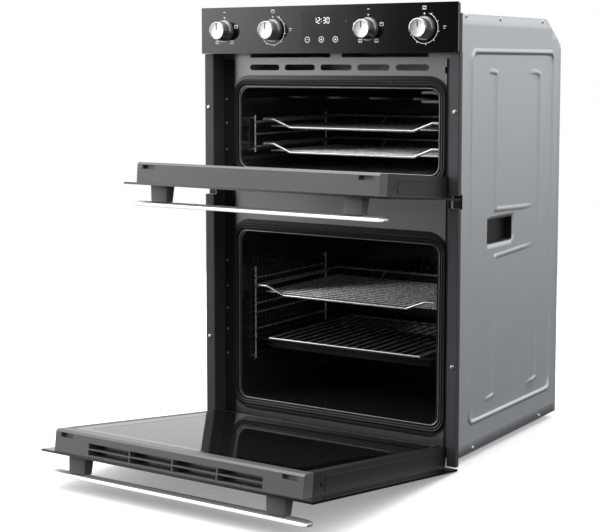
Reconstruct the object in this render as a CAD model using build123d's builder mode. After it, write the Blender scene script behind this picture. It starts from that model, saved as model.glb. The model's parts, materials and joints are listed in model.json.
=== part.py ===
from build123d import *
import os

# Built-in double oven: a grill oven over a fan oven, each with a drop-down door, in one steel case.
# Millimetres. +Z is up, -Y is the front, X runs left to right as seen from the front.
# The origin is on the underside of the case, midway across and midway between its front flange and back.

# ---------------------------------------------------------------- driving dimensions
# Front
FRONT_WIDTH = 594.0          # control panel and door glasses
PANEL_HEIGHT = 94.0
PANEL_GAP = 3.0              # control panel to upper door
UPPER_DOOR_HEIGHT = 271.0
DOOR_GAP = 4.5               # upper door to lower door
LOWER_DOOR_HEIGHT = 515.5
DOOR_DROP = 9.0              # lower door hangs this far below the case
GLASS = 4.0                  # toughened glass

# Case
FRONT_OVERLAP = 19.0         # front past each side of the case
CASE_DEPTH = 505.0           # front flange to back
PANEL_RISE = 20.5            # control panel stands this far above the case
CASE_CHAMFER_LENGTH = 78.0   # sloping upper back edge
CASE_CHAMFER_HEIGHT = 54.0
FLANGE_SETBACK = 20.0        # front flange behind the glass face
SHEET = 1.2                  # steel sheet
RIB_WIDTH = 10.0             # pressed ribs of the side panels
RIB_HEIGHT = 2.4

# Front plate and trims
PLATE_SETBACK = 50.0         # front plate behind the glass face
TRIM_SETBACK = 9.0
TRIM_INSET = 0.4             # trim's side wall inside the case's side panel
TRIM_DROP = 4.0              # trims end this far below the case
TRIM_NOTCH_ABOVE = 6.0       # gap in the trims round the upper door's pivot
TRIM_NOTCH_BELOW = 19.0
TRIM_WEB = 28.0
VENT_COUNT = 5
VENT_LENGTH = 73.0
VENT_HEIGHT = 12.0
VENT_PITCH = 86.5
VENT_BELOW_PANEL = 28.0
TOP_OPENING_WIDTH = 418.0    # wiring and air opening behind the control panel
TOP_OPENING_HEIGHT = 24.0
TOP_OPENING_TAB = 27.0       # upright strip that divides the opening
TOP_OPENING_RISE = 4.0       # middle of the opening above the control panel's bottom edge
LATCH_OPENING = 12.0
LATCH_INSET = 18.5           # cavity edge to the latch opening's middle
LATCH_DROP = 5.0             # latch opening's middle below the vents'

# Cavities
SIDE_SPACE = 46.0            # case side to cavity wall
REAR_SPACE = 53.0            # cavity back wall to case back
CAVITY_RADIUS = 22.0
UPPER_SILL = 39.0            # upper door's bottom edge to cavity floor
UPPER_HEAD = 67.0            # cavity roof to upper door's top edge
LOWER_SILL = 71.0
LOWER_HEAD = 91.5
MOUTH_FLANGE = 26.0          # enamelled flange round each mouth
SEAL_INSET = 5.0             # cavity edge to seal
SEAL_WIDTH = 13.0
INSULATION = 21.0
ELEMENT_SPACE = 12.0         # under each cavity floor

# Doors
UPPER_OPENING_ANGLE = 85.0   # each door rests open on its stops
LOWER_OPENING_ANGLE = 82.4
DOOR_THICKNESS = 44.0
DOOR_SIDE_GAP = 3.4          # door body to each side trim's wall
DOOR_BODY_TOP = 8.0          # body stops below the outer glass's top edge
DOOR_BODY_BOTTOM = 3.0
DOOR_TRIM = 28.0
DOOR_RAIL = 30.0
INNER_GLASS_MARGIN = 16.0    # door body's side to the inner glass
PIVOT_DEPTH = 10.0           # pivot behind the outer face
PIVOT_RISE = 7.5             # pivot above the door's bottom edge
PIN_RADIUS = 2.5
PIN_CLEARANCE = 0.05
ARM_THICKNESS = 3.0          # hinge arm, fixed to the case
ARM_WIDTH = 9.0
ARM_RISE = 14.0
HINGE_SLOT = 9.0             # slot in the door body round each arm
HANDLE_LENGTH = 566.0
HANDLE_HEIGHT = 27.0
HANDLE_THICKNESS = 10.0
HANDLE_REACH = 31.0          # door face to the back of the bar
HANDLE_BELOW_TOP = 22.0
POST_SPACING = 436.0
POST_WIDTH = 40.0
POST_HEIGHT = 24.0

# Shelves and racks
SHELF_SIDE_GAP = 13.0        # cavity wall to the middle of a shelf's side wire
SHELF_REAR_GAP = 60.0        # shelf to cavity back wall
SHELF_WIRE = 3.0             # frame wire radius
GRID_WIRE = 1.5
SHELF_DROP = 16.5
DROP_HALF_WIDTH = 147.0
DROP_RUN = 42.0
GRID_PITCH = 19.0
RACK_WIRE = 2.0
RACK_FRONT = 90.0            # rack's first upright behind the glass face
RACK_REAR_GAP = 42.0         # rack's last upright to the shelf's back wire
UPPER_SHELF_FRONT = 106.0
LOWER_SHELF_FRONT = 82.0
HIGH_SHELF_RISE = 98.0       # above the upper cavity's floor
LOW_SHELF_RISE = 46.0
MAIN_SHELF_DROP = 119.0      # below the lower cavity's roof
TRAY_RISE = 122.0            # above the lower cavity's floor
TRAY_DEPTH = 20.0
TRAY_FRONT = 72.0
SIDE_LINER_RISE = 54.0       # above the lower cavity's floor
SIDE_LINER_DROP = 45.0       # below the lower cavity's roof
SIDE_LINER_RADIUS = 20.0
SIDE_LINER_LAP = 16.0        # past the rack's first upright

# Controls
KNOB_X = (-238.5, -118.5, 104.0, 226.0)
KNOB_BELOW_TOP = 48.0
KNOB_RADIUS = 18.5
KNOB_LENGTH = 26.0
SPINDLE_RADIUS = 3.0
DISPLAY_X = -5.0
DISPLAY_WIDTH = 88.0
DISPLAY_HEIGHT = 70.0

# Clearances between separate pieces
SLIP = 0.3                   # sliding or loosely seated pieces
SEAT = 0.5                   # gaps that let formed sheet pieces go together

# ---------------------------------------------------------------- levels and planes
lower_door_bottom = -DOOR_DROP
lower_door_top = lower_door_bottom + LOWER_DOOR_HEIGHT
upper_door_bottom = lower_door_top + DOOR_GAP
upper_door_top = upper_door_bottom + UPPER_DOOR_HEIGHT
panel_bottom = upper_door_top + PANEL_GAP
panel_top = panel_bottom + PANEL_HEIGHT
case_height = panel_top - PANEL_RISE
case_front = -CASE_DEPTH / 2
case_back = CASE_DEPTH / 2
glass_front = case_front - FLANGE_SETBACK
half_front = FRONT_WIDTH / 2
half_case = half_front - FRONT_OVERLAP
inside = half_case - SHEET                       # inner face of a side panel
half_cavity = half_case - SIDE_SPACE
cavity_width = 2 * half_cavity
half_shelf = half_cavity - SHELF_SIDE_GAP
upper_floor = upper_door_bottom + UPPER_SILL
upper_roof = upper_door_top - UPPER_HEAD
lower_floor = lower_door_bottom + LOWER_SILL
lower_roof = lower_door_top - LOWER_HEAD
high_shelf_level = upper_floor + HIGH_SHELF_RISE
low_shelf_level = upper_floor + LOW_SHELF_RISE
main_shelf_level = lower_roof - MAIN_SHELF_DROP
tray_level = lower_floor + TRAY_RISE
trim_wall = inside - TRIM_INSET                  # outer face of a trim's side wall
half_body = trim_wall - SHEET - DOOR_SIDE_GAP    # door body
half_inner = half_body - INNER_GLASS_MARGIN      # inner door glass
knob_level = panel_top - KNOB_BELOW_TOP
vent_level = panel_bottom - VENT_BELOW_PANEL
arm_x = (half_inner + half_body) / 2 - 1.0       # middle of each hinge arm


def behind(depth):
    """Y of a point this far behind the glass face."""
    return glass_front + depth


plate_front = behind(PLATE_SETBACK)
cavity_back = case_back - REAR_SPACE
shelf_back = cavity_back - SHELF_REAR_GAP
rack_front = behind(RACK_FRONT)
rack_back = shelf_back - RACK_REAR_GAP


def block(x, y, z, mode=Mode.ADD):
    """A box between two limits on each axis, in the open part's own plane."""
    centre = tuple((low + high) / 2 for low, high in (x, y, z))
    with Locations(centre):
        return Box(x[1] - x[0], y[1] - y[0], z[1] - z[0], mode=mode)


def rod(start, end, radius, mode=Mode.ADD):
    """A straight round bar from one point to another."""
    way = Vector(*end) - Vector(*start)
    with BuildSketch(Plane(origin=start, z_dir=way.normalized())) as section:
        Circle(radius)
    return extrude(section.sketch, amount=way.length, mode=mode)


def bent_wire(points, bend, radius):
    """A round wire along straight runs with rounded bends."""
    with BuildLine() as route:
        path = FilletPolyline(*points, radius=bend)
    with BuildSketch(path ^ 0) as section:
        Circle(radius)
    return sweep(section.sketch, path=route.line)


def rounded_box(width, depth_range, height_range, radius, mode=Mode.ADD):
    """A box with its four long edges, the ones that run front to back, rounded."""
    with BuildSketch(Plane.XZ.offset(-depth_range[0])) as face:
        with Locations((0, (height_range[0] + height_range[1]) / 2)):
            RectangleRounded(width, height_range[1] - height_range[0], radius)
    return extrude(face.sketch, amount=-(depth_range[1] - depth_range[0]), mode=mode)


def save(name, shape):
    """Labels a finished piece and writes it."""
    shape.label = name
    export_step(shape, f"parts/{name}.step")


os.makedirs("parts", exist_ok=True)

# ---------------------------------------------------------------- case
RIB_FRONT = 97.0             # pressed frame behind the glass face
RIB_MARGIN = 42.0            # pressed frame to the case's back edge
rib_front = behind(RIB_FRONT)
rib_back = case_back - RIB_MARGIN
RIB_BELOW_SLOPE = 16.0       # pressed frame below the start of the sloping edge
rib_bottom = 60.0
rib_top = case_height - CASE_CHAMFER_HEIGHT - RIB_BELOW_SLOPE
RECESS_FRONT = 173.0
RECESS_LENGTH = 110.0
RECESS_HEIGHT = 49.0
RECESS_DEPTH = 17.0
RECESS_RISE = 408.0
RECESS_WALL = 2.0
recess_front = behind(RECESS_FRONT)
recess_bottom = RECESS_RISE
FIXING_RADIUS = 2.25
FIXING_INSET = 9.0           # fixing holes inside the edge of the front
fixing_x = half_front - FIXING_INSET
LOWER_FIXING = 190.0
UPPER_FIXING_DROP = 205.0    # below the top of the control panel
fixing_levels = (LOWER_FIXING, panel_top - UPPER_FIXING_DROP)
notch_bottom = upper_door_bottom - TRIM_NOTCH_BELOW
notch_top = upper_door_bottom + TRIM_NOTCH_ABOVE


def side_panel(side):
    """One side of the case, with its front flange, pressed ribs and the window for the carrying recess."""
    outer = side * half_case
    with BuildPart() as panel:
        with BuildSketch(Plane.YZ.offset(outer)):
            Polygon(
                (case_front, 0),
                (case_back, 0),
                (case_back, case_height - CASE_CHAMFER_HEIGHT),
                (case_back - CASE_CHAMFER_LENGTH, case_height),
                (case_front, case_height),
                align=None,
            )
        extrude(amount=-side * SHEET)
        flange = sorted((outer - side * SHEET, side * (half_front - SHEET)))
        block(flange, (case_front, case_front + SHEET), (0, case_height))
        notch = sorted((outer + side * SEAT, side * half_front))
        block(notch, (case_front, case_front + SHEET), (notch_bottom, notch_top), Mode.SUBTRACT)
        with BuildSketch(Plane.YZ.offset(outer)):
            middle = ((rib_front + rib_back) / 2, (rib_bottom + rib_top) / 2)
            with Locations(middle):
                RectangleRounded(rib_back - rib_front, rib_top - rib_bottom, RIB_WIDTH)
                inner_size = (rib_back - rib_front - 2 * RIB_WIDTH, rib_top - rib_bottom - 2 * RIB_WIDTH)
                RectangleRounded(*inner_size, RIB_WIDTH / 2, mode=Mode.SUBTRACT)
        extrude(amount=side * RIB_HEIGHT)
        window = (recess_front - SLIP, recess_front + RECESS_LENGTH + SLIP)
        heights = (recess_bottom - SLIP, recess_bottom + RECESS_HEIGHT + SLIP)
        block(sorted((outer - side * 2 * SHEET, outer + side * SHEET)), window, heights, Mode.SUBTRACT)
        for level in fixing_levels:
            with Locations(Pos(side * fixing_x, case_front, level) * Rot(90, 0, 0)):
                Cylinder(FIXING_RADIUS, 4 * SHEET, mode=Mode.SUBTRACT)
    return panel.part


save("side_panel_left", side_panel(-1))
save("side_panel_right", side_panel(1))

with BuildPart() as base_pan:
    block((-inside, inside), (plate_front + SHEET, case_back), (0, SHEET))
save("base_pan", base_pan.part)

BACK_VENT_COLUMNS = 8
BACK_VENT_ROWS = 3
BACK_VENT_PITCH = (40.0, 20.0)
BACK_VENT_SIZE = (28.0, 6.0)
BACK_VENT_DROP = 130.0       # below the top of the case
BACK_FRAME_WIDTH = 360.0     # pressed frame of the back panel
BACK_FRAME_RADIUS = 14.0
TERMINAL_X = 190.0
TERMINAL_LEVEL = 640.0
TERMINAL_SIZE = 70.0
INLET_RADIUS = 8.0
with BuildPart() as back_panel:
    back_top = case_height - CASE_CHAMFER_HEIGHT - 2 * SHEET
    block((-inside, inside), (case_back - SHEET, case_back), (SHEET, back_top))
    with BuildSketch(Plane.XZ.offset(-case_back)):
        frame_top = upper_floor - BACK_VENT_DROP
        frame_height = frame_top - rib_bottom
        with Locations((0, (rib_bottom + frame_top) / 2)):
            RectangleRounded(BACK_FRAME_WIDTH, frame_height, BACK_FRAME_RADIUS)
            inner_size = (BACK_FRAME_WIDTH - 2 * RIB_WIDTH, frame_height - 2 * RIB_WIDTH)
            RectangleRounded(*inner_size, BACK_FRAME_RADIUS - RIB_WIDTH / 2, mode=Mode.SUBTRACT)
    extrude(amount=RIB_HEIGHT / 2)
    with BuildSketch(Plane.XZ.offset(-case_back)):
        with Locations((0, case_height - BACK_VENT_DROP)):
            with GridLocations(*BACK_VENT_PITCH, BACK_VENT_COLUMNS, BACK_VENT_ROWS):
                SlotOverall(*BACK_VENT_SIZE)
    extrude(amount=SHEET, mode=Mode.SUBTRACT)
    with Locations(Pos(TERMINAL_X, case_back, TERMINAL_LEVEL - TERMINAL_SIZE / 4) * Rot(90, 0, 0)):
        Cylinder(INLET_RADIUS + SEAT, 4 * SHEET, mode=Mode.SUBTRACT)
save("back_panel", back_panel.part)

with BuildPart() as top_cover:
    with BuildSketch(Plane.YZ.offset(-inside)):
        with BuildLine():
            slope_start = (case_back - CASE_CHAMFER_LENGTH, case_height)
            slope_end = (case_back, case_height - CASE_CHAMFER_HEIGHT)
            outline = Polyline((plate_front + SHEET + SLIP, case_height), slope_start, slope_end)
            offset(outline, amount=SHEET, side=Side.RIGHT)
        make_face()
    extrude(amount=2 * inside)
save("top_cover", top_cover.part)

with BuildPart() as carry_recesses:
    for side in (-1, 1):
        lip = side * (half_case + SHEET)
        cup = sorted((lip, side * (half_case - RECESS_DEPTH)))
        length = (recess_front, recess_front + RECESS_LENGTH)
        height = (recess_bottom, recess_bottom + RECESS_HEIGHT)
        block(cup, length, height)
        hollow = sorted((lip, side * (half_case - RECESS_DEPTH + RECESS_WALL)))
        hollow_length = (length[0] + RECESS_WALL, length[1] - RECESS_WALL)
        hollow_height = (height[0] + RECESS_WALL, height[1] - RECESS_WALL)
        block(hollow, hollow_length, hollow_height, Mode.SUBTRACT)
save("carry_recesses", carry_recesses.part)

SCREW_HEAD = 4.0
SCREW_HEAD_HEIGHT = 1.8
BACK_SCREW_INSET = 20.0      # inside the edges of the back panel
side_screws = (
    (behind(71), case_height - 4),
    (behind(222), case_height - 6),
    (behind(427), case_height - 6),
    (behind(120), 7),
    (behind(439), 6),
)
with BuildPart() as case_screws:
    for side in (-1, 1):
        with BuildSketch(Plane.YZ.offset(side * half_case)):
            with Locations(*[(y, max(z, SCREW_HEAD)) for y, z in side_screws]):
                Circle(SCREW_HEAD)
        extrude(amount=side * SCREW_HEAD_HEIGHT)
    with BuildSketch(Plane.XZ.offset(-case_back)):
        with Locations((0, back_top / 2)):
            with GridLocations(2 * (half_case - BACK_SCREW_INSET), back_top / 2 - BACK_SCREW_INSET, 2, 3):
                Circle(SCREW_HEAD)
    extrude(amount=-SCREW_HEAD_HEIGHT)
save("case_screws", case_screws.part)

# ---------------------------------------------------------------- front plate, trims and hinge catches
latch_x = half_cavity + LATCH_INSET
SLOT_HALF = HINGE_SLOT / 2
ARM_OPENING_GAP = 1.5        # hinge arm to the opening it passes
with BuildPart() as front_plate:
    block((-inside, inside), (plate_front, plate_front + SHEET), (0, case_height))
    for floor, roof in ((upper_floor, upper_roof), (lower_floor, lower_roof)):
        mouth = cavity_width + 2 * (SHEET + SLIP)
        heights = (floor - SHEET - SLIP, roof + SHEET + SLIP)
        rounded_box(mouth, (plate_front, plate_front + SHEET), heights, CAVITY_RADIUS + SHEET + SLIP, Mode.SUBTRACT)
    with BuildSketch(Plane.XZ.offset(-plate_front)):
        with Locations((0, vent_level)):
            with GridLocations(VENT_PITCH, 1, VENT_COUNT, 1):
                SlotOverall(VENT_LENGTH, VENT_HEIGHT)
        with Locations((latch_x, vent_level - LATCH_DROP)):
            Rectangle(LATCH_OPENING, LATCH_OPENING)
        with Locations((0, panel_bottom + TOP_OPENING_RISE)):
            Rectangle(TOP_OPENING_WIDTH, TOP_OPENING_HEIGHT)
            Rectangle(TOP_OPENING_TAB, TOP_OPENING_HEIGHT, mode=Mode.SUBTRACT)
        for level in (upper_door_bottom, lower_door_bottom):
            with Locations((-arm_x, level + PIVOT_RISE + ARM_RISE), (arm_x, level + PIVOT_RISE + ARM_RISE)):
                Rectangle(ARM_THICKNESS + 2 * ARM_OPENING_GAP, ARM_WIDTH + 2 * ARM_OPENING_GAP)
    extrude(amount=-SHEET, mode=Mode.SUBTRACT)
save("front_plate", front_plate.part)


def side_trim(side):
    """A folded upright: front flange, outer return, side wall and the web that meets the front plate."""
    edge = side * half_front
    wall = side * trim_wall
    front = behind(TRIM_SETBACK)
    bottom = -TRIM_DROP
    top = panel_bottom - SEAT
    web_in = wall - side * TRIM_WEB
    with BuildPart() as trim:
        block(sorted((wall, edge)), (front, front + SHEET), (bottom, top))
        block(sorted((edge - side * SHEET, edge)), (front, case_front - SLIP), (bottom, top))
        block(sorted((wall - side * SHEET, wall)), (front, plate_front - SLIP), (bottom, top))
        web_back = plate_front - SLIP
        block(sorted((web_in, wall)), (web_back - SHEET, web_back), (SEAT, top))
        outside = sorted((wall - side * 2 * SHEET, edge))
        swing = behind(PIVOT_DEPTH + PIVOT_RISE + SEAT)
        block(outside, (front, swing), (notch_bottom, notch_top), Mode.SUBTRACT)
        past_wall = sorted((wall, edge))
        block(past_wall, (front, case_front), (notch_bottom, notch_top), Mode.SUBTRACT)
        for floor, roof in ((upper_floor, upper_roof), (lower_floor, lower_roof)):
            cut = 2 * (half_cavity + MOUTH_FLANGE + SLIP)
            heights = (floor - MOUTH_FLANGE - SLIP, roof + MOUTH_FLANGE + SLIP)
            depths = (web_back - 2 * SHEET, web_back + SHEET)
            rounded_box(cut, depths, heights, CAVITY_RADIUS + MOUTH_FLANGE + SLIP, Mode.SUBTRACT)
        for level in (upper_door_bottom, lower_door_bottom):
            middle = level + PIVOT_RISE + ARM_RISE
            half = ARM_WIDTH / 2 + ARM_OPENING_GAP
            reach = ARM_THICKNESS / 2 + ARM_OPENING_GAP
            slot = sorted((side * (arm_x - reach), side * (arm_x + reach)))
            block(slot, (web_back - 2 * SHEET, web_back), (middle - half, middle + half), Mode.SUBTRACT)
        for level in fixing_levels:
            with Locations(Pos(side * fixing_x, front, level) * Rot(90, 0, 0)):
                Cylinder(FIXING_RADIUS, 4 * SHEET, mode=Mode.SUBTRACT)
    return trim.part


save("side_trim_left", side_trim(-1))
save("side_trim_right", side_trim(1))

CATCH_LENGTH = 26.0
CATCH_HEIGHT = 15.0
CATCH_HALF_WIDTH = 5.0
ARM_BEND = 24.0              # pivot to the arm's bend
ARM_EYE = 0.5                # extra radius of the arm's eye
with BuildPart() as hinge_catches:
    for door_bottom in (upper_door_bottom, lower_door_bottom):
        pivot_y = behind(PIVOT_DEPTH)
        pivot_z = door_bottom + PIVOT_RISE
        arm_z = pivot_z + ARM_RISE
        bend_y = pivot_y + ARM_BEND
        catch_y = plate_front + SHEET + SLIP
        for side in (-1, 1):
            start_x = side * arm_x - ARM_THICKNESS / 2
            with BuildSketch(Plane.YZ.offset(start_x)):
                with BuildLine():
                    run = Polyline((pivot_y, pivot_z), (bend_y, arm_z), (catch_y + CATCH_LENGTH, arm_z))
                trace(run, ARM_WIDTH)
                with Locations((pivot_y, pivot_z)):
                    Circle(ARM_WIDTH / 2 + ARM_EYE)
                    Circle(PIN_RADIUS + PIN_CLEARANCE, mode=Mode.SUBTRACT)
            extrude(amount=ARM_THICKNESS)
            shell = sorted((side * (arm_x - CATCH_HALF_WIDTH), side * (arm_x + CATCH_HALF_WIDTH)))
            catch = (max(arm_z - CATCH_HEIGHT / 2, SHEET + SLIP), arm_z + CATCH_HEIGHT / 2)
            block(shell, (catch_y, catch_y + CATCH_LENGTH), catch)
save("hinge_catches", hinge_catches.part)

# ---------------------------------------------------------------- cavities
FAN_RADIUS = 70.0
FAN_LEVEL = (lower_floor + lower_roof) / 2
FAN_SHAFT = 4.0
SHAFT_HOLE_GAP = 2.0         # shaft to the hole in the cavity's back wall
LAMP_WIDTH = 92.0
LAMP_HEIGHT = 26.0
LAMP_BELOW_ROOF = 12.0
LAMP_X = 14.0
LAMP_DEPTH = 8.0
RUNNING_CLEARANCE = 0.06


def liner(floor, roof, shaft_hole):
    """An enamelled box with rounded corners and a flange round its mouth."""
    with BuildPart() as cavity:
        outer = (floor - SHEET, roof + SHEET)
        depth = (plate_front - SHEET, cavity_back + SHEET)
        rounded_box(cavity_width + 2 * SHEET, depth, outer, CAVITY_RADIUS + SHEET)
        flange = (floor - MOUTH_FLANGE, roof + MOUTH_FLANGE)
        width = cavity_width + 2 * MOUTH_FLANGE
        rounded_box(width, (plate_front - SHEET, plate_front), flange, CAVITY_RADIUS + MOUTH_FLANGE)
        rounded_box(cavity_width, (depth[0], cavity_back), (floor, roof), CAVITY_RADIUS, Mode.SUBTRACT)
        if shaft_hole:
            with Locations(Pos(0, cavity_back, FAN_LEVEL) * Rot(90, 0, 0)):
                Cylinder(FAN_SHAFT + SHAFT_HOLE_GAP, 4 * SHEET, mode=Mode.SUBTRACT)
    return cavity.part


save("upper_liner", liner(upper_floor, upper_roof, False))
save("lower_liner", liner(lower_floor, lower_roof, True))


def seal(floor, roof):
    """The hollow rubber door seal, squeezed between the mouth flange and the closed door."""
    front = behind(DOOR_THICKNESS) + SEAT
    inset = SEAL_INSET
    outset = SEAL_INSET + SEAL_WIDTH
    with BuildPart() as ring:
        depth = (front, plate_front - SHEET)
        rounded_box(cavity_width + 2 * outset, depth, (floor - outset, roof + outset), CAVITY_RADIUS + outset)
        hole = (floor - inset, roof + inset)
        rounded_box(cavity_width + 2 * inset, depth, hole, CAVITY_RADIUS + inset, Mode.SUBTRACT)
    return ring.part


save("upper_seal", seal(upper_floor, upper_roof))
save("lower_seal", seal(lower_floor, lower_roof))


MOTOR_RADIUS = 34.0
MOTOR_GAP = 2.0              # motor to the insulation round it
MOTOR_REAR_GAP = 4.0         # motor to the back panel
motor_back = case_back - SHEET - MOTOR_REAR_GAP
insulation_back = cavity_back + SHEET + SEAT + INSULATION


def blanket(floor, roof):
    """The mineral wool wrapped round one cavity, with room for the element under its floor."""
    inner = (floor - SHEET - ELEMENT_SPACE, roof + SHEET + SEAT)
    half = half_cavity + SHEET + SEAT
    front = plate_front + SHEET + SEAT
    outer = (inner[0] - INSULATION, inner[1] + INSULATION)
    block((-half - INSULATION, half + INSULATION), (front, insulation_back), outer)
    block((-half, half), (front, insulation_back - INSULATION), inner, Mode.SUBTRACT)


with BuildPart() as insulation_blankets:
    blanket(upper_floor, upper_roof)
    blanket(lower_floor, lower_roof)
    with Locations(Pos(0, insulation_back, FAN_LEVEL) * Rot(90, 0, 0)):
        Cylinder(MOTOR_RADIUS + MOTOR_GAP, 3 * INSULATION, mode=Mode.SUBTRACT)
save("insulation_blankets", insulation_blankets.part)

ELEMENT_RADIUS = 3.3
ELEMENT_BEND = 18.0


def element_loop(level, half_width, front, back, passes):
    """A sheathed element bent back and forth in a flat plane, both ends at the back wall."""
    step = 2 * half_width / passes
    points = [(-half_width, cavity_back, level)]
    for turn in range(passes):
        x = -half_width + turn * step
        end = front if turn % 2 == 0 else back
        points += [(x, end, level), (x + step, end, level)]
    points.append((half_width, cavity_back, level))
    return points


GRILL_HALF = 175.0
GRILL_PASSES = 7
GRILL_BELOW_ROOF = 20.0
GRILL_FOOT = (30.0, 3.0, 26.0)
BASE_HALF = 150.0
BASE_PASSES = 3
BASE_ELEMENT_GAP = 1.0       # element to the underside of the cavity floor
ELEMENT_FRONT = 130.0        # first bends behind the glass face
ELEMENT_REAR_GAP = 42.0      # rear bends to the cavity's back wall
grill_level = upper_roof - GRILL_BELOW_ROOF
grill_front = behind(ELEMENT_FRONT)
grill_back = cavity_back - ELEMENT_REAR_GAP
with BuildPart() as grill_element:
    passes = element_loop(grill_level, GRILL_HALF, grill_front, grill_back, GRILL_PASSES)
    bent_wire(passes, ELEMENT_BEND, ELEMENT_RADIUS)
    with Locations(*[(x, cavity_back - GRILL_FOOT[1] / 2, grill_level) for x in (-GRILL_HALF, GRILL_HALF)]):
        Box(*GRILL_FOOT)
save("grill_element", grill_element.part)

for name, floor in (("upper_base_element", upper_floor), ("lower_base_element", lower_floor)):
    with BuildPart() as base_element:
        level = floor - SHEET - ELEMENT_RADIUS - BASE_ELEMENT_GAP
        passes = element_loop(level, BASE_HALF, grill_front, grill_back, BASE_PASSES)
        bent_wire(passes, ELEMENT_BEND, ELEMENT_RADIUS)
    save(name, base_element.part)

# ---------------------------------------------------------------- fan, ring element and fan cover
COVER_RADIUS = 112.0
COVER_DEPTH = 27.0
LOUVRE_COUNT = 24
LOUVRE_SIZE = (34.0, 5.0)
LOUVRE_INSET = 34.0          # cover's edge to the middle of the louvres
AIR_HOLE_COUNT = 8
AIR_HOLE_RADIUS = 5.0
AIR_HOLE_CIRCLE = 22.0
RING_INSET = 12.0            # cover's edge to the ring element
cover_front = cavity_back - COVER_DEPTH
with BuildPart() as fan_cover:
    with BuildSketch(Plane.XZ.offset(-cover_front)):
        with Locations((0, FAN_LEVEL)):
            Circle(COVER_RADIUS)
    extrude(amount=-COVER_DEPTH)
    with BuildSketch(Plane.XZ.offset(-cover_front - SHEET)):
        with Locations((0, FAN_LEVEL)):
            Circle(COVER_RADIUS - SHEET)
    extrude(amount=-COVER_DEPTH, mode=Mode.SUBTRACT)
    with BuildSketch(Plane.XZ.offset(-cover_front)):
        with Locations((0, FAN_LEVEL)):
            with PolarLocations(COVER_RADIUS - LOUVRE_INSET, LOUVRE_COUNT):
                SlotOverall(*LOUVRE_SIZE)
            with PolarLocations(AIR_HOLE_CIRCLE, AIR_HOLE_COUNT):
                Circle(AIR_HOLE_RADIUS)
    extrude(amount=-SHEET, mode=Mode.SUBTRACT)
save("fan_cover", fan_cover.part)

with BuildPart() as ring_element:
    with BuildLine():
        ring = CenterArc((0, 0), COVER_RADIUS - RING_INSET, 0, 360)
    with BuildSketch(Plane((COVER_RADIUS - RING_INSET, 0, 0), z_dir=(0, 1, 0))):
        Circle(ELEMENT_RADIUS)
    sweep(path=ring)
ring_place = Pos(0, cavity_back - COVER_DEPTH / 2, FAN_LEVEL) * Rot(90, 0, 0)
save("ring_element", ring_element.part.moved(ring_place))

FAN_FRONT_GAP = 3.0          # fan cover to fan
FAN_DEPTH = 18.0
FAN_DISC = 1.5
FAN_BLADE = (32.0, 1.5)
FAN_BLADE_COUNT = 12
FAN_HUB = 4.0                # hub's wall
SHAFT_REACH = 30.0           # fan shaft into the motor
fan_front = cover_front + SHEET + FAN_FRONT_GAP
fan_plane = Plane(origin=(0, fan_front, FAN_LEVEL), x_dir=(1, 0, 0), z_dir=(0, 1, 0))
with BuildPart(fan_plane) as fan_rotor:
    with Locations((0, 0, FAN_DEPTH)):
        Cylinder(FAN_RADIUS, FAN_DISC, align=(Align.CENTER, Align.CENTER, Align.MAX))
    with PolarLocations(FAN_RADIUS - FAN_BLADE[0] / 2 - 2, FAN_BLADE_COUNT):
        Box(*FAN_BLADE, FAN_DEPTH, align=(Align.CENTER, Align.CENTER, Align.MIN))
    Cylinder(FAN_SHAFT + FAN_HUB, FAN_DEPTH, align=(Align.CENTER, Align.CENTER, Align.MIN))
    Cylinder(FAN_SHAFT, cavity_back - fan_front + SHAFT_REACH, align=(Align.CENTER, Align.CENTER, Align.MIN))
save("fan_rotor", fan_rotor.part)

motor_plane = Plane(origin=(0, cavity_back + SHEET, FAN_LEVEL), x_dir=(1, 0, 0), z_dir=(0, 1, 0))
with BuildPart(motor_plane) as fan_motor:
    Cylinder(MOTOR_RADIUS, motor_back - cavity_back - SHEET, align=(Align.CENTER, Align.CENTER, Align.MIN))
    bore_length = SHAFT_REACH + MOTOR_REAR_GAP
    bore = FAN_SHAFT + RUNNING_CLEARANCE
    Cylinder(bore, bore_length, align=(Align.CENTER, Align.CENTER, Align.MIN), mode=Mode.SUBTRACT)
save("fan_motor", fan_motor.part)

with BuildPart() as lamp_lenses:
    for roof in (upper_roof, lower_roof):
        top = roof - LAMP_BELOW_ROOF
        place = (LAMP_X - LAMP_WIDTH / 2, LAMP_X + LAMP_WIDTH / 2)
        block(place, (cavity_back - LAMP_DEPTH, cavity_back), (top - LAMP_HEIGHT, top))
save("lamp_lenses", lamp_lenses.part)

PROBE_RADIUS = 3.0
PROBE_LENGTH = 110.0
PROBE_INSET = 32.0           # cavity's side to the probe
PROBE_BELOW_ROOF = 45.0
probe_x = half_cavity - PROBE_INSET
with BuildPart() as temperature_probes:
    for roof in (upper_roof, lower_roof):
        level = roof - PROBE_BELOW_ROOF
        rod((probe_x, cavity_back - PROBE_LENGTH, level), (probe_x, cavity_back, level), PROBE_RADIUS)
save("temperature_probes", temperature_probes.part)

# ---------------------------------------------------------------- side racks and liners
RACK_WALL_GAP = 4.5          # cavity wall to the uprights
RACK_FOOT = 6.0              # foot inside the upright's end
RACK_OVERRUN = 6.0           # shelf wires past the uprights
rack_x = half_cavity - RACK_WALL_GAP - RACK_WIRE
support_x = half_shelf + SHELF_WIRE
SUPPORT_GUARD = 20.0
RACK_PITCH = 55.0


def rack_levels(low, high):
    """Levels of the wires that carry a shelf, each with its guard wire above."""
    levels = []
    level = low
    while level <= high + 1:
        levels += [level, level + SUPPORT_GUARD]
        level += RACK_PITCH
    return levels


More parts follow.
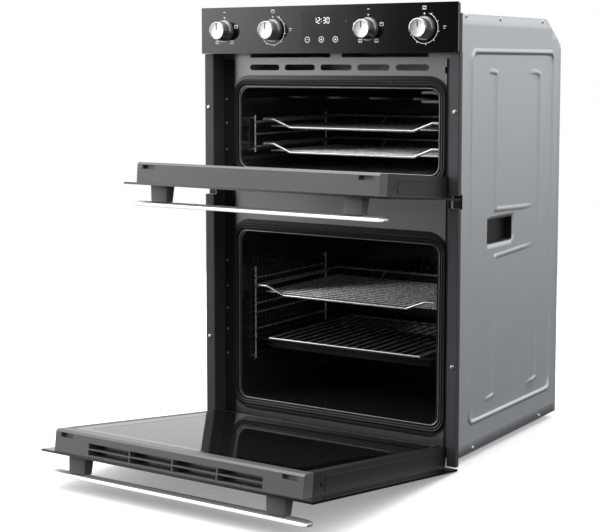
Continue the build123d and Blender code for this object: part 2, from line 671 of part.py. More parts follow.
def side_racks(levels, bottom, top, wall):
    """A pair of wire racks: two uprights each, feet on the wall, and a wire along the wall at every level."""
    with BuildPart() as racks:
        for side in (-1, 1):
            x = side * rack_x
            for y in (rack_front, rack_back):
                rod((x, y, bottom), (x, y, top), RACK_WIRE)
                for level in (bottom + RACK_FOOT, top - RACK_FOOT):
                    rod((x, y, level), (side * wall, y, level), RACK_WIRE)
            for level in levels:
                near = (side * support_x, rack_front - RACK_OVERRUN, level)
                far = (side * support_x, rack_back + RACK_OVERRUN, level)
                rod(near, far, RACK_WIRE)
    return racks.part


LINER_PANEL = 1.0
under_wire = SHELF_WIRE + RACK_WIRE + SLIP
upper_levels = [low_shelf_level - under_wire, high_shelf_level - under_wire]
upper_levels.append(sum(upper_levels) / 2)
upper_racks = side_racks(upper_levels, upper_levels[0] - 12, upper_levels[1] + 14, half_cavity)
save("upper_side_racks", upper_racks)
lowest = tray_level - SHEET - RACK_WIRE - SLIP
highest = main_shelf_level - under_wire
lower_levels = rack_levels(lowest, highest)
lower_racks = side_racks(lower_levels, lowest - 45, highest + 44, half_cavity - LINER_PANEL)
save("lower_side_racks", lower_racks)

liner_length = rack_back + 2 - (rack_front - SIDE_LINER_LAP)
liner_middle = (rack_back + 2 + rack_front - SIDE_LINER_LAP) / 2
liner_low = lower_floor + SIDE_LINER_RISE
liner_high = lower_roof - SIDE_LINER_DROP
with BuildPart() as side_liners:
    for side in (-1, 1):
        wall = side * half_cavity
        with BuildSketch(Plane.YZ.offset(wall - side * LINER_PANEL)):
            with Locations((liner_middle, (liner_low + liner_high) / 2)):
                RectangleRounded(liner_length, liner_high - liner_low, SIDE_LINER_RADIUS)
        extrude(amount=side * LINER_PANEL)
save("side_liners", side_liners.part)

# ---------------------------------------------------------------- shelves, tray and grid


def shelf(level, front):
    """A wire shelf: frame wire with a dropped front, cross wires, and two wires tying them together."""
    low = level - SHELF_DROP
    front_y = behind(front)
    back_y = shelf_back
    x_drop = DROP_HALF_WIDTH
    x_rise = DROP_HALF_WIDTH + DROP_RUN
    with BuildPart() as tray_shelf:
        frame = [
            (-half_shelf, back_y, level),
            (-half_shelf, front_y, level),
            (-x_rise, front_y, level),
            (-x_drop, front_y, low),
            (x_drop, front_y, low),
            (x_rise, front_y, level),
            (half_shelf, front_y, level),
            (half_shelf, back_y, level),
        ]
        bent_wire(frame, 9.0, SHELF_WIRE)
        rod((-half_shelf, back_y, level), (half_shelf, back_y, level), SHELF_WIRE)
        tie_top = low + SHELF_WIRE - GRID_WIRE
        for x in (-x_drop * 0.62, x_drop * 0.62):
            rod((x, front_y, low), (x, back_y - 20, low), GRID_WIRE + 0.5)
            rod((x, back_y - 20, low), (x, back_y, level), GRID_WIRE + 0.5)
        y = front_y + GRID_PITCH
        while y < back_y - 24:
            rod((-half_shelf + 12, y, tie_top), (half_shelf - 12, y, tie_top), GRID_WIRE)
            y += GRID_PITCH
    return tray_shelf.part


save("grill_shelf", shelf(high_shelf_level, UPPER_SHELF_FRONT))
save("upper_shelf", shelf(low_shelf_level, UPPER_SHELF_FRONT))
save("lower_shelf", shelf(main_shelf_level, LOWER_SHELF_FRONT))

TRAY_SHEET = 1.0
TRAY_RIM = 14.0
TRAY_RADIUS = 26.0
tray_width = 2 * (half_shelf + SHELF_WIRE)
tray_length = shelf_back - behind(TRAY_FRONT)
tray_middle = (shelf_back + behind(TRAY_FRONT)) / 2
with BuildPart() as roasting_tray:
    tray_bottom = tray_level - TRAY_DEPTH
    with BuildSketch(Plane.XY.offset(tray_level - TRAY_SHEET)):
        with Locations((0, tray_middle)):
            RectangleRounded(tray_width, tray_length, TRAY_RADIUS)
    extrude(amount=TRAY_SHEET)
    with BuildSketch(Plane.XY.offset(tray_level)):
        with Locations((0, tray_middle)):
            RectangleRounded(tray_width - 2 * TRAY_RIM, tray_length - 2 * TRAY_RIM, TRAY_RADIUS)
    extrude(amount=-TRAY_DEPTH, taper=20)
    with BuildSketch(Plane.XY.offset(tray_level)):
        with Locations((0, tray_middle)):
            inner = 2 * (TRAY_RIM + TRAY_SHEET)
            RectangleRounded(tray_width - inner, tray_length - inner, TRAY_RADIUS - TRAY_SHEET)
    extrude(amount=-(TRAY_DEPTH - TRAY_SHEET), taper=20, mode=Mode.SUBTRACT)
save("roasting_tray", roasting_tray.part)

TRAY_GRID_PITCH = 22.0
TRAY_GRID_COUNT = 17
grid_half = TRAY_GRID_PITCH * (TRAY_GRID_COUNT - 1) / 2 + 4
grid_front = behind(TRAY_FRONT + 4)
grid_back = shelf_back - 4
grid_level = tray_level + SLIP + GRID_WIRE + 0.5
with BuildPart() as tray_grid:
    for y in (grid_front, grid_back):
        rod((-grid_half, y, grid_level), (grid_half, y, grid_level), GRID_WIRE + 0.5)
    for x in (-grid_half, grid_half):
        rod((x, grid_front, grid_level), (x, grid_back, grid_level), GRID_WIRE + 0.5)
    for number in range(TRAY_GRID_COUNT):
        x = (number - (TRAY_GRID_COUNT - 1) / 2) * TRAY_GRID_PITCH
        rod((x, grid_front, grid_level + 1), (x, grid_back, grid_level + 1), GRID_WIRE)
save("tray_grid", tray_grid.part)

# ---------------------------------------------------------------- cooling blower, terminal box
blower_bottom = upper_roof + SHEET + SEAT + INSULATION + SLIP
blower_front = plate_front + SHEET + SEAT
BLOWER_LENGTH = 420.0
BLOWER_DEPTH = 150.0
IMPELLER_RADIUS = 30.0
IMPELLER_SHAFT = 4.0
IMPELLER_END_GAP = 30.0      # impeller to each end of the housing
IMPELLER_DISC = 2.0
IMPELLER_BLADE = (8.0, 1.2)
IMPELLER_BLADE_COUNT = 18
INTAKE = (25.0, 45.0)        # intake in front of and behind the impeller's axis
INTAKE_INSET = 20.0
BLOWER_TOP_GAP = 2.0
blower_top = case_height - SHEET - BLOWER_TOP_GAP
impeller_y = blower_front + BLOWER_DEPTH / 2
impeller_z = (blower_bottom + blower_top) / 2
half_blower = BLOWER_LENGTH / 2
with BuildPart() as blower_housing:
    depth = (blower_front, blower_front + BLOWER_DEPTH)
    block((-half_blower, half_blower), depth, (blower_bottom, blower_top))
    hollow = (blower_bottom + SHEET, blower_top - SHEET)
    block((-half_blower + SHEET, half_blower - SHEET), (depth[0], depth[1] - SHEET), hollow, Mode.SUBTRACT)
    intake = (impeller_y - INTAKE[0], impeller_y + INTAKE[1])
    block((-half_blower + INTAKE_INSET, half_blower - INTAKE_INSET), intake, (hollow[1], blower_top), Mode.SUBTRACT)
    with Locations(Pos(0, impeller_y, impeller_z) * Rot(0, 90, 0)):
        Cylinder(IMPELLER_SHAFT + RUNNING_CLEARANCE, BLOWER_LENGTH, mode=Mode.SUBTRACT)
save("blower_housing", blower_housing.part)

impeller_length = BLOWER_LENGTH - 2 * IMPELLER_END_GAP
impeller_plane = Plane(origin=(0, impeller_y, impeller_z), x_dir=(0, 1, 0), z_dir=(1, 0, 0))
with BuildPart(impeller_plane) as blower_rotor:
    Cylinder(IMPELLER_SHAFT, BLOWER_LENGTH)
    for end in (-impeller_length / 2, 0, impeller_length / 2):
        with Locations((0, 0, end)):
            Cylinder(IMPELLER_RADIUS, IMPELLER_DISC)
    with PolarLocations(IMPELLER_RADIUS - IMPELLER_BLADE[0] / 2, IMPELLER_BLADE_COUNT):
        Box(*IMPELLER_BLADE, impeller_length)
save("blower_rotor", blower_rotor.part)

TERMINAL_DEPTH = 24.0
TERMINAL_WALL = 3.0
with BuildPart() as terminal_box:
    x = (TERMINAL_X - TERMINAL_SIZE / 2, TERMINAL_X + TERMINAL_SIZE / 2)
    y = (case_back - SHEET - TERMINAL_DEPTH, case_back - SHEET)
    z = (TERMINAL_LEVEL - TERMINAL_SIZE / 2, TERMINAL_LEVEL + TERMINAL_SIZE / 2)
    block(x, y, z)
    hollow = [(low + TERMINAL_WALL, high - TERMINAL_WALL) for low, high in (x, y, z)]
    block(*hollow, Mode.SUBTRACT)
    with Locations(Pos(TERMINAL_X, y[1], TERMINAL_LEVEL - TERMINAL_SIZE / 4) * Rot(90, 0, 0)):
        Cylinder(INLET_RADIUS, 12, mode=Mode.SUBTRACT)
save("terminal_box", terminal_box.part)

# ---------------------------------------------------------------- control panel
CARRIER_DEPTH = 9.0
CARRIER_INSET = 2.0
SPINDLE_HOLE = 5.0
PILOT_X = 54.0
PILOT_RADIUS = 2.6
PILOT_RISE = 0.6             # lens in front of the glass
PILOT_BELOW_TOP = 31.0
DISPLAY_BELOW_TOP = 47.0
PANEL_CORNER = 1.5
pilot_level = panel_top - PILOT_BELOW_TOP
display_level = panel_top - DISPLAY_BELOW_TOP
with BuildPart() as panel_glass:
    block((-half_front, half_front), (glass_front, behind(GLASS)), (panel_bottom, panel_top))
    fillet(panel_glass.edges().filter_by(Axis.Y), PANEL_CORNER)
    with BuildSketch(Plane.XZ.offset(-glass_front)):
        with Locations(*[(x, knob_level) for x in KNOB_X]):
            Circle(SPINDLE_HOLE)
        with Locations((PILOT_X, pilot_level)):
            Circle(PILOT_RADIUS)
    extrude(amount=-GLASS, mode=Mode.SUBTRACT)
save("panel_glass", panel_glass.part)

with BuildPart() as pilot_lens:
    with Locations(Pos(PILOT_X, glass_front - PILOT_RISE, pilot_level) * Rot(-90, 0, 0)):
        Cylinder(PILOT_RADIUS, GLASS + PILOT_RISE, align=(Align.CENTER, Align.CENTER, Align.MIN))
save("pilot_lens", pilot_lens.part)

carrier_back = behind(GLASS + CARRIER_DEPTH)
switch_back = plate_front - SEAT
SWITCH_RADIUS = 19.0
BOX_HALF = 262.0
BOX_WALL = 2.0
BOX_TOP_GAP = 4.0            # box below the top of the case
CARRIER_RIM = 4.0
CARRIER_FACE = 3.0
SWITCH_GAP = 5.0             # panel glass to the switches
with BuildPart() as panel_carrier:
    low = panel_bottom + CARRIER_INSET
    high = panel_top - CARRIER_INSET
    reach = half_front - CARRIER_INSET
    block((-reach, reach), (behind(GLASS), carrier_back), (low, high))
    face_back = behind(GLASS + CARRIER_FACE)
    rim = reach - CARRIER_RIM
    block((-rim, rim), (face_back, carrier_back), (low + CARRIER_RIM, high - CARRIER_RIM), Mode.SUBTRACT)
    box_top = case_height - BOX_TOP_GAP
    block((-BOX_HALF, BOX_HALF), (face_back, switch_back), (low, box_top))
    hollow = BOX_HALF - BOX_WALL
    block((-hollow, hollow), (face_back, switch_back), (low + BOX_WALL, box_top - BOX_WALL), Mode.SUBTRACT)
    with BuildSketch(Plane.XZ.offset(-behind(GLASS))):
        with Locations(*[(x, knob_level) for x in KNOB_X]):
            Circle(SPINDLE_HOLE)
        with Locations((DISPLAY_X, display_level)):
            Rectangle(DISPLAY_WIDTH + 2 * SEAT, DISPLAY_HEIGHT + 2 * SEAT)
        with Locations((PILOT_X, pilot_level)):
            Circle(PILOT_RADIUS)
    extrude(amount=-CARRIER_DEPTH, mode=Mode.SUBTRACT)
save("panel_carrier", panel_carrier.part)

with BuildPart() as display_module:
    half = DISPLAY_WIDTH / 2
    levels = (display_level - DISPLAY_HEIGHT / 2, display_level + DISPLAY_HEIGHT / 2)
    block((DISPLAY_X - half, DISPLAY_X + half), (behind(GLASS), carrier_back), levels)
save("display_module", display_module.part)

BEZEL_RADIUS = 22.5
BEZEL_HEIGHT = 2.5
with BuildPart() as dial_bezels:
    with BuildSketch(Plane.XZ.offset(-glass_front)):
        with Locations(*[(x, knob_level) for x in KNOB_X]):
            Circle(BEZEL_RADIUS)
            Circle(SPINDLE_HOLE, mode=Mode.SUBTRACT)
    extrude(amount=BEZEL_HEIGHT)
save("dial_bezels", dial_bezels.part)

spindle_bore = SPINDLE_RADIUS + RUNNING_CLEARANCE
switch_front = behind(GLASS + SWITCH_GAP)
with BuildPart() as control_switches:
    with BuildSketch(Plane.XZ.offset(-switch_front)):
        with Locations(*[(x, knob_level) for x in KNOB_X]):
            Circle(SWITCH_RADIUS)
            Circle(spindle_bore, mode=Mode.SUBTRACT)
    extrude(amount=-(switch_back - SHEET - switch_front))
save("control_switches", control_switches.part)

knob_back = glass_front - BEZEL_HEIGHT - SLIP
SPINDLE_LENGTH = 36.0
KNOB_SKIRT = (2.0, 3.0)      # beyond the knob's side, and thickness
KNOB_EDGE = 3.0
POINTER = (3.0, 1.6)         # width and thickness of the groove's cutter
knob_names = ("grill_selector_knob", "grill_thermostat_knob", "oven_selector_knob", "oven_thermostat_knob")
for name, x in zip(knob_names, KNOB_X):
    knob_plane = Plane(origin=(x, knob_back, knob_level), x_dir=(1, 0, 0), z_dir=(0, -1, 0))
    with BuildPart(knob_plane) as knob:
        Cylinder(KNOB_RADIUS + KNOB_SKIRT[0], KNOB_SKIRT[1], align=(Align.CENTER, Align.CENTER, Align.MIN))
        Cylinder(KNOB_RADIUS, KNOB_LENGTH, align=(Align.CENTER, Align.CENTER, Align.MIN))
        fillet(knob.faces().sort_by(Axis.Y)[0].edges(), KNOB_EDGE)
        with Locations((0, 0, KNOB_LENGTH)):
            align = (Align.CENTER, Align.MIN, Align.CENTER)
            Box(POINTER[0], KNOB_RADIUS, POINTER[1], align=align, mode=Mode.SUBTRACT)
        Cylinder(SPINDLE_RADIUS, SPINDLE_LENGTH, align=(Align.CENTER, Align.CENTER, Align.MAX))
    save(name, knob.part)

# ---------------------------------------------------------------- doors
CHEEK = 1.6
BODY_START = 40.0
BODY_HEIGHT = 100.0
POCKET_X = (229.0, 259.0)
POCKET_DEPTHS = (31.0, 39.0)
POCKET_DROP = 8.0
TRIM_CREASE = 4.0            # sloping inner edge of the top trims
GRILLE_FLOOR = 3.0           # under the grille's openings
CHEEK_REACH = 5.0            # hinge cheek past the pin, to each side
GRILLE_HALF = 191.0
GRILLE_COLUMNS = 4
GRILLE_DEPTHS = (7.0, 28.0)
GRILLE_BAR = 2.4


def door_plane(bottom, angle):
    """The plane of an open door: X across, Y into the door from its outer face, Z up from its bottom edge."""
    pivot = Location((0, behind(PIVOT_DEPTH), bottom + PIVOT_RISE), (angle, 0, 0))
    return Plane(pivot * Location((0, -PIVOT_DEPTH, -PIVOT_RISE)))


def make_door(prefix, bottom, height, angle, has_grille):
    """All the pieces of one door, in its open place."""
    door = door_plane(bottom, angle)
    body_top = height - DOOR_BODY_TOP
    trim_bottom = body_top - DOOR_TRIM
    slot = (arm_x - SLOT_HALF, arm_x + SLOT_HALF)
    pin_start = arm_x - SLOT_HALF + SLIP
    pin_end = arm_x + SLOT_HALF - SLIP

    with BuildPart(door) as outer_glass:
        block((-half_front, half_front), (0, GLASS), (0, height))
    save(f"{prefix}_door_glass", outer_glass.part)

    with BuildPart(door) as frame:
        block((-half_body, half_body), (GLASS, DOOR_THICKNESS), (DOOR_BODY_BOTTOM, trim_bottom))
        hollow = half_body - DOOR_RAIL
        block((-hollow, hollow), (GLASS, DOOR_THICKNESS), (DOOR_RAIL, trim_bottom), Mode.SUBTRACT)
        rebate = (DOOR_THICKNESS - GLASS - SLIP, DOOR_THICKNESS)
        seat = half_inner + SLIP
        block((-seat, seat), rebate, (DOOR_RAIL / 2 - SLIP, trim_bottom), Mode.SUBTRACT)
        for side in (-1, 1):
            gap = sorted((side * slot[0], side * slot[1]))
            block(gap, (GLASS, DOOR_THICKNESS), (DOOR_BODY_BOTTOM, BODY_START), Mode.SUBTRACT)
            pocket = (GLASS, DOOR_THICKNESS - GLASS)
            block(gap, pocket, (BODY_START, BODY_START + BODY_HEIGHT + SLIP), Mode.SUBTRACT)
    save(f"{prefix}_door_frame", frame.part)

    with BuildPart(door) as top_trim:
        block((-half_body, half_body), (GLASS, DOOR_THICKNESS), (trim_bottom, body_top))
        long_edges = top_trim.edges().filter_by(Axis.X)
        chamfer(long_edges.sort_by(lambda edge: edge.center().Z - edge.center().Y)[-1], TRIM_CREASE)
        for side in (-1, 1):
            pocket = sorted((side * POCKET_X[0], side * POCKET_X[1]))
            block(pocket, POCKET_DEPTHS, (body_top - POCKET_DROP, body_top), Mode.SUBTRACT)
        if has_grille:
            width = (2 * GRILLE_HALF + GRILLE_BAR) / GRILLE_COLUMNS
            row = (GRILLE_DEPTHS[1] - GRILLE_DEPTHS[0] - GRILLE_BAR) / 2
            for column in range(GRILLE_COLUMNS):
                x = -GRILLE_HALF + column * width
                for y in (GRILLE_DEPTHS[0], GRILLE_DEPTHS[1] - row):
                    opening = (x, x + width - GRILLE_BAR)
                    block(opening, (y, y + row), (trim_bottom + GRILLE_FLOOR, body_top), Mode.SUBTRACT)
    save(f"{prefix}_door_top_trim", top_trim.part)

    with BuildPart(door) as inner_glass:
        depth = (DOOR_THICKNESS - GLASS, DOOR_THICKNESS)
        block((-half_inner, half_inner), depth, (DOOR_RAIL / 2, trim_bottom - SLIP))
    save(f"{prefix}_door_inner_glass", inner_glass.part)

    with BuildPart(door) as hinges:
        for side in (-1, 1):
            body = sorted((side * pin_start, side * pin_end))
            heights = (BODY_START + SLIP, BODY_START + BODY_HEIGHT)
            block(body, (GLASS + SLIP, DOOR_THICKNESS - GLASS - SLIP), heights)
            for inner in (pin_start, pin_end - CHEEK):
                cheek = sorted((side * inner, side * (inner + CHEEK)))
                reach = (PIVOT_DEPTH - CHEEK_REACH, PIVOT_DEPTH + CHEEK_REACH)
                block(cheek, reach, (DOOR_BODY_BOTTOM, BODY_START + SLIP))
            with Locations(Pos(side * arm_x, PIVOT_DEPTH, PIVOT_RISE) * Rot(0, 90, 0)):
                Cylinder(PIN_RADIUS, pin_end - pin_start)
    save(f"{prefix}_door_hinges", hinges.part)

    handle_z = height - HANDLE_BELOW_TOP
    with BuildPart(door) as bar:
        centre_y = -HANDLE_REACH - HANDLE_THICKNESS / 2
        with Locations((0, centre_y, handle_z)):
            straight = HANDLE_LENGTH - HANDLE_HEIGHT
            Box(straight, HANDLE_THICKNESS, HANDLE_HEIGHT)
        for end in (-straight / 2, straight / 2):
            with Locations(Pos(end, centre_y, handle_z) * Rot(90, 0, 0)):
                Cylinder(HANDLE_HEIGHT / 2, HANDLE_THICKNESS)
    save(f"{prefix}_handle_bar", bar.part)

    with BuildPart(door) as posts:
        for x in (-POST_SPACING / 2, POST_SPACING / 2):
            half = POST_WIDTH / 2
            levels = (handle_z - POST_HEIGHT / 2, handle_z + POST_HEIGHT / 2)
            block((x - half, x + half), (-HANDLE_REACH, 0), levels)
    save(f"{prefix}_handle_posts", posts.part)


make_door("upper", upper_door_bottom, UPPER_DOOR_HEIGHT, UPPER_OPENING_ANGLE, False)
make_door("lower", lower_door_bottom, LOWER_DOOR_HEIGHT, LOWER_OPENING_ANGLE, True)
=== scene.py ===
import json
import math

import bmesh
import bpy
import numpy as np
from mathutils import Euler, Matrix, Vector


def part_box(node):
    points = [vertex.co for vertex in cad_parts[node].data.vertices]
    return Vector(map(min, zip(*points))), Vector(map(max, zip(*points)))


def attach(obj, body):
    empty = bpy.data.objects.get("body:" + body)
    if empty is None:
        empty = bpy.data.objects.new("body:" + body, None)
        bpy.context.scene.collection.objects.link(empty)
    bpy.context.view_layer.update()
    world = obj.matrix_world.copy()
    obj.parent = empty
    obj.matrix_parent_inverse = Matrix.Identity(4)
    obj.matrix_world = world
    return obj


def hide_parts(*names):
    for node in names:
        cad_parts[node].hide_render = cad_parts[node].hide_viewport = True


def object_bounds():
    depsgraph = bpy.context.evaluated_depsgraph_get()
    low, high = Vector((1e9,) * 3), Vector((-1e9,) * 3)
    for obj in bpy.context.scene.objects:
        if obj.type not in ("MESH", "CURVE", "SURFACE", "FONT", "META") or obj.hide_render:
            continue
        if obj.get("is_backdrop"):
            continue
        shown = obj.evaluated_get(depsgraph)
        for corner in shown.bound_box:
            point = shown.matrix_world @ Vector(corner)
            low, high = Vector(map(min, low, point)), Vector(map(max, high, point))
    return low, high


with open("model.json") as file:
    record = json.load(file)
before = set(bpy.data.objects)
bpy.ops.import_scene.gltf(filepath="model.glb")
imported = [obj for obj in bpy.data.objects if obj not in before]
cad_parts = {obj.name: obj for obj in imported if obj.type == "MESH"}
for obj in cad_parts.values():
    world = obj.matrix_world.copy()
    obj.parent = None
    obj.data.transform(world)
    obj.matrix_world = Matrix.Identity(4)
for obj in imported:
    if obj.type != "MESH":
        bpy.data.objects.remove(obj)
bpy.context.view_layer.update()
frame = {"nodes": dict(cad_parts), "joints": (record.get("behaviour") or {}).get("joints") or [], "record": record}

bl_info = {
    "name": "Built-in Double Oven Looks",
    "version": (1, 0, 0),
    "blender": (4, 5, 0),
    "location": "View3D > Sidebar > Oven",
    "description": "Surfaces, finishes and studio for a built-in double oven",
    "category": "Object",
}

MM = 0.001
STAGE_SIZE = 5.0


# ------------------------------------------------------------------ places taken from the frame
def node_box(name):
    """Lowest and highest corner of a CAD node at rest, as two arrays of metres."""
    low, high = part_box(name)
    return np.array(low), np.array(high)


PANEL_LOW, PANEL_HIGH = node_box("panel_glass")
CASE_HIGH = node_box("base_pan")[1]
SIDE_LOW, SIDE_HIGH = node_box("side_panel_right")
GLASS_FACE = PANEL_LOW[1]
PLATE_LOW = node_box("front_plate")[0]
JOINTS = {joint["name"]: joint for joint in frame["joints"]}
PIVOT_RISE = 7.5 * MM
DOORS = {"upper": {"height": 271.0 * MM}, "lower": {"height": 515.5 * MM}}

# Sizes below are in millimetres. Depths run back from the glass face, levels up from the foot of the case.
HINGE_NOTCH = (492.0, 517.0)

SHEET_THICKNESS = 1.2
SHEET_INSET = 17.8
SHEET_FRONT, SHEET_BACK = 20.0, 525.0
CORNER_DROP, CORNER_RUN = 54.0, 78.0
BEAD_HALF_WIDTH = 5.6
BEAD_DEPTHS = (98, 485, 208, 415)
BEAD_LEVELS = (60, 788, 748, 472, 382, 96)
BEAD_RUNS = (
    (98, 70, 98, 778, 1), (485, 70, 485, 778, 1), (108, 788, 475, 788, 1), (108, 60, 475, 60, 1),
    (98, 778, 108, 788, 1), (475, 788, 485, 778, 1), (98, 70, 108, 60, 1), (475, 60, 485, 70, 1),
    (208, 474, 208, 746, 1), (183, 751, 208, 746, 0.6), (208, 474, 365, 468, 0.35),
    (208, 98, 208, 379, 1), (208, 379, 365, 385, 0.35), (183, 93, 208, 98, 0.6),
    (415, 97, 415, 743, 1), (390, 749, 415, 743, 0.6), (390, 91, 415, 97, 0.6),
)
DIMPLES = ((439, 290), (440, 174), (507, 285))
DIMPLE_DEPTH, DIMPLE_SPREAD = 1.2, 9.0
WINDOW_DEPTHS, WINDOW_LEVELS = (173.0, 283.0), (408.0, 457.0)
FLANGE_INNER, FLANGE_OUTER = 277.0, 295.8
CLIP_LEVELS = (818.0, 466.0, 120.0)

UPRIGHT_FOOT, UPRIGHT_TOP = -4.0, 784.5
UPRIGHT_NOTCH = (491.9, 517.1)
UPRIGHT_CHANNEL = (
    (275.2, 49.7), (275.2, 11.0), (276.6, 9.4), (294.8, 9.0), (296.6, 9.8), (297.0, 11.6), (297.0, 19.7),
    (295.8, 19.7), (295.8, 10.2), (276.4, 10.2), (276.4, 49.7),
)
UPRIGHT_WALL = ((275.2, 49.7), (275.2, 20.5), (276.4, 20.5), (276.4, 49.7))
STRIP_INNER, STRIP_WIDTH = 250.0, 25.0
STRIP_FACE, STRIP_BACK = 48.2, 48.5
STRIP_LEVELS = (1.0, 774.0)
STRIP_FOLDS, STRIP_FOLD_RISE, STRIP_POINTS = 4, 0.9, 49
STUD_LEVELS = (150, 202, 247, 295, 349, 585, 640, 690)
UPRIGHT_SCREW_LEVELS = (190.0, 674.0)

SIDE_SCREWS = ((71.0, 854.5), (222.0, 852.5), (427.0, 852.5), (120.0, 7.0), (439.0, 6.0))
BACK_SCREWS = [(x, z) for x in (-258.0, 258.0) for z in (15.0, 401.0, 787.0)]
SCREW_RADIUS, SCREW_RISE = 4.0, 1.8
CROSS_HALF_WIDTH, CROSS_REACH, CROSS_DEPTH = 0.5, 2.4, 0.8

SEALS = (("upper", 244.0, 540.5, 726.0, 12.0), ("lower", 246.5, 51.0, 425.5, 11.5))
SEAL_RADIUS, SEAL_TALL = 26.0, 4.0
RIM_INSET, RIM_RADIUS, RIM_WIRE = 9.0, 20.0, 1.2
LENS_ROOF_GAP = 27.2
DOT_RADIUS, DOT_SIDES = 2.2, 8

BAR_HALF_LENGTH, BAR_HALF_HEIGHT, BAR_END_RADIUS = 283, 13.5, 12.5
BAR_STAND_OFF = 41
BAR_BELOW_TOP = 22
# How squarely a bar face must look along the door to take the painted highlight.
PAINTED_HIGHLIGHT_FACING = 0.62
POST_PLACES = (-218.0, 218.0)
SIDE_LEDGE_DROP = 74.0
INNER_GLASS_HALF_WIDTH = 255.5

KNOB_STEPS, KNOB_FLUTES = 96, 24
KNOB_SKIRT = (
    (20.0, 3.0, 0), (20.4, 3.4, 0), (20.4, 6.0, 0), (19.6, 6.8, 0), (19.0, 8.0, 0.35), (18.5, 20.0, 0.35),
    (18.3, 21.5, 0.1), (17.0, 21.6, 0),
)
KNOB_CAP = (
    (17.9, 21.7, 0), (18.2, 22.6, 0), (18.2, 27.0, 0), (17.6, 28.2, 0), (16.4, 28.8, 0), (15.6, 28.6, 0),
    (14.0, 28.4, 0),
)
MARK_NEAR, MARK_FAR = 0.12, 0.02
TICK_RADII = (29.0, 32.5)
TOUCH_KEYS = (-35.7, -3.0, 29.6)
DIGIT_WIDTH, DIGIT_HALF_HEIGHT = 5.2, 5.4


def behind(depth_mm):
    """Y of a plane this many millimetres behind the glass face."""
    return GLASS_FACE + depth_mm * MM


def door_place(door, points):
    """Carries points of a closed door to where it stands open, turned about the hinge axis by the opening angle.
    X is across, Y the depth behind its face and Z the height above its bottom edge, in metres."""
    joint = JOINTS[f"{door}_door_hinge"]
    angle = math.radians(-joint["range_deg"][0])
    pivot = np.array(joint["pos_m"])
    depth = points[..., 1] - (pivot[1] - GLASS_FACE)
    height = points[..., 2] - PIVOT_RISE
    out = np.empty_like(points)
    out[..., 0] = points[..., 0]
    out[..., 1] = pivot[1] + depth * math.cos(angle) - height * math.sin(angle)
    out[..., 2] = pivot[2] + depth * math.sin(angle) + height * math.cos(angle)
    return out


# ------------------------------------------------------------------ mesh making
def new_piece(name, vertices, faces, slot, body, replaces=(), smooth_angle=40.0, turn=True):
    """Makes a mesh of worked-out vertices and faces, turned outwards and shaded, and hangs it on a body. Its slot
    names its finish."""
    mesh = bpy.data.meshes.new(name)
    mesh.from_pydata(np.asarray(vertices).reshape(-1, 3).tolist(), [], faces)
    work = bmesh.new()
    work.from_mesh(mesh)
    bmesh.ops.remove_doubles(work, verts=work.verts, dist=1e-6)
    bmesh.ops.dissolve_degenerate(work, edges=work.edges, dist=1e-7)
    if turn:
        bmesh.ops.recalc_face_normals(work, faces=work.faces)
    work.to_mesh(mesh)
    work.free()
    mesh.materials.append(finish_of(slot))
    piece = bpy.data.objects.new(name, mesh)
    bpy.context.scene.collection.objects.link(piece)
    mesh.shade_smooth()
    mesh.set_sharp_from_angle(angle=math.radians(smooth_angle))
    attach(piece, body)
    if replaces:
        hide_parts(*replaces)
    return piece


def grid_faces(rows, columns, closed_columns=False, first=0):
    """Quads between neighbouring points of a grid, each named by its row and column."""
    across = columns if closed_columns else columns - 1
    r, c = np.meshgrid(np.arange(rows - 1), np.arange(across), indexing="ij")
    nxt = (c + 1) % columns
    quads = np.stack([r * columns + c, r * columns + nxt, (r + 1) * columns + nxt, (r + 1) * columns + c], -1)
    return (quads.reshape(-1, 4) + first).tolist()


def loft(rows, caps=True, closed_rows=False, first=0):
    """Vertices and faces of a skin over closed rings of points (rows x points x 3), with flat end caps."""
    count, points = rows.shape[:2]
    if closed_rows:
        rows = np.concatenate([rows, rows[:1]])
        return rows.reshape(-1, 3), grid_faces(count + 1, points, True, first)
    faces = grid_faces(count, points, True, first)
    if caps:
        faces.append([first + i for i in range(points)][::-1])
        faces.append([first + (count - 1) * points + i for i in range(points)])
    return rows.reshape(-1, 3), faces


class Shell:
    """Gathers several skins into one piece."""

    def __init__(self):
        self.vertices = []
        self.faces = []
        self.count = 0

    def add(self, vertices, faces):
        """Adds one skin whose faces count their own vertices from nought."""
        vertices = np.asarray(vertices).reshape(-1, 3)
        self.faces += [[self.count + i for i in face] for face in faces]
        self.vertices.append(vertices)
        self.count += len(vertices)

    def add_rings(self, rows, **options):
        """Adds a skin over closed rings."""
        self.add(*loft(np.asarray(rows, float), **options))

    def piece(self, name, slot, body, **options):
        """Makes the gathered skins one object."""
        return new_piece(name, np.concatenate(self.vertices), self.faces, slot, body, **options)


def rounded_rectangle(width, height, radius, steps=6, centre=(0.0, 0.0)):
    """A closed outline: four quarter circles of one radius about the corners' centres, joined by sides."""
    radius = min(radius, width / 2 - 1e-6, height / 2 - 1e-6)
    quarter = np.linspace(0, math.pi / 2, steps + 1)
    turns = np.concatenate([quarter + k * math.pi / 2 for k in range(4)])
    sign_x = np.repeat([1, -1, -1, 1], steps + 1)
    sign_z = np.repeat([1, 1, -1, -1], steps + 1)
    x = centre[0] + sign_x * (width / 2 - radius) + radius * np.cos(turns)
    z = centre[1] + sign_z * (height / 2 - radius) + radius * np.sin(turns)
    return np.stack([x, z], -1)


def side_ring(outline, x):
    """Stands a depth-height outline in the plane of one X."""
    return np.stack([np.full(len(outline), x), outline[:, 0], outline[:, 1]], -1)


def circle(radius, steps=32, centre=(0.0, 0.0)):
    """A closed outline of points at one distance from its centre."""
    turn = np.linspace(0, 2 * math.pi, steps, endpoint=False)
    return np.stack([centre[0] + radius * np.cos(turn), centre[1] + radius * np.sin(turn)], -1)


def front_ring(outline, y):
    """Stands an X-Z outline in the plane of one Y, or of one Y per point."""
    return np.stack([outline[:, 0], np.broadcast_to(y, len(outline)), outline[:, 1]], -1)


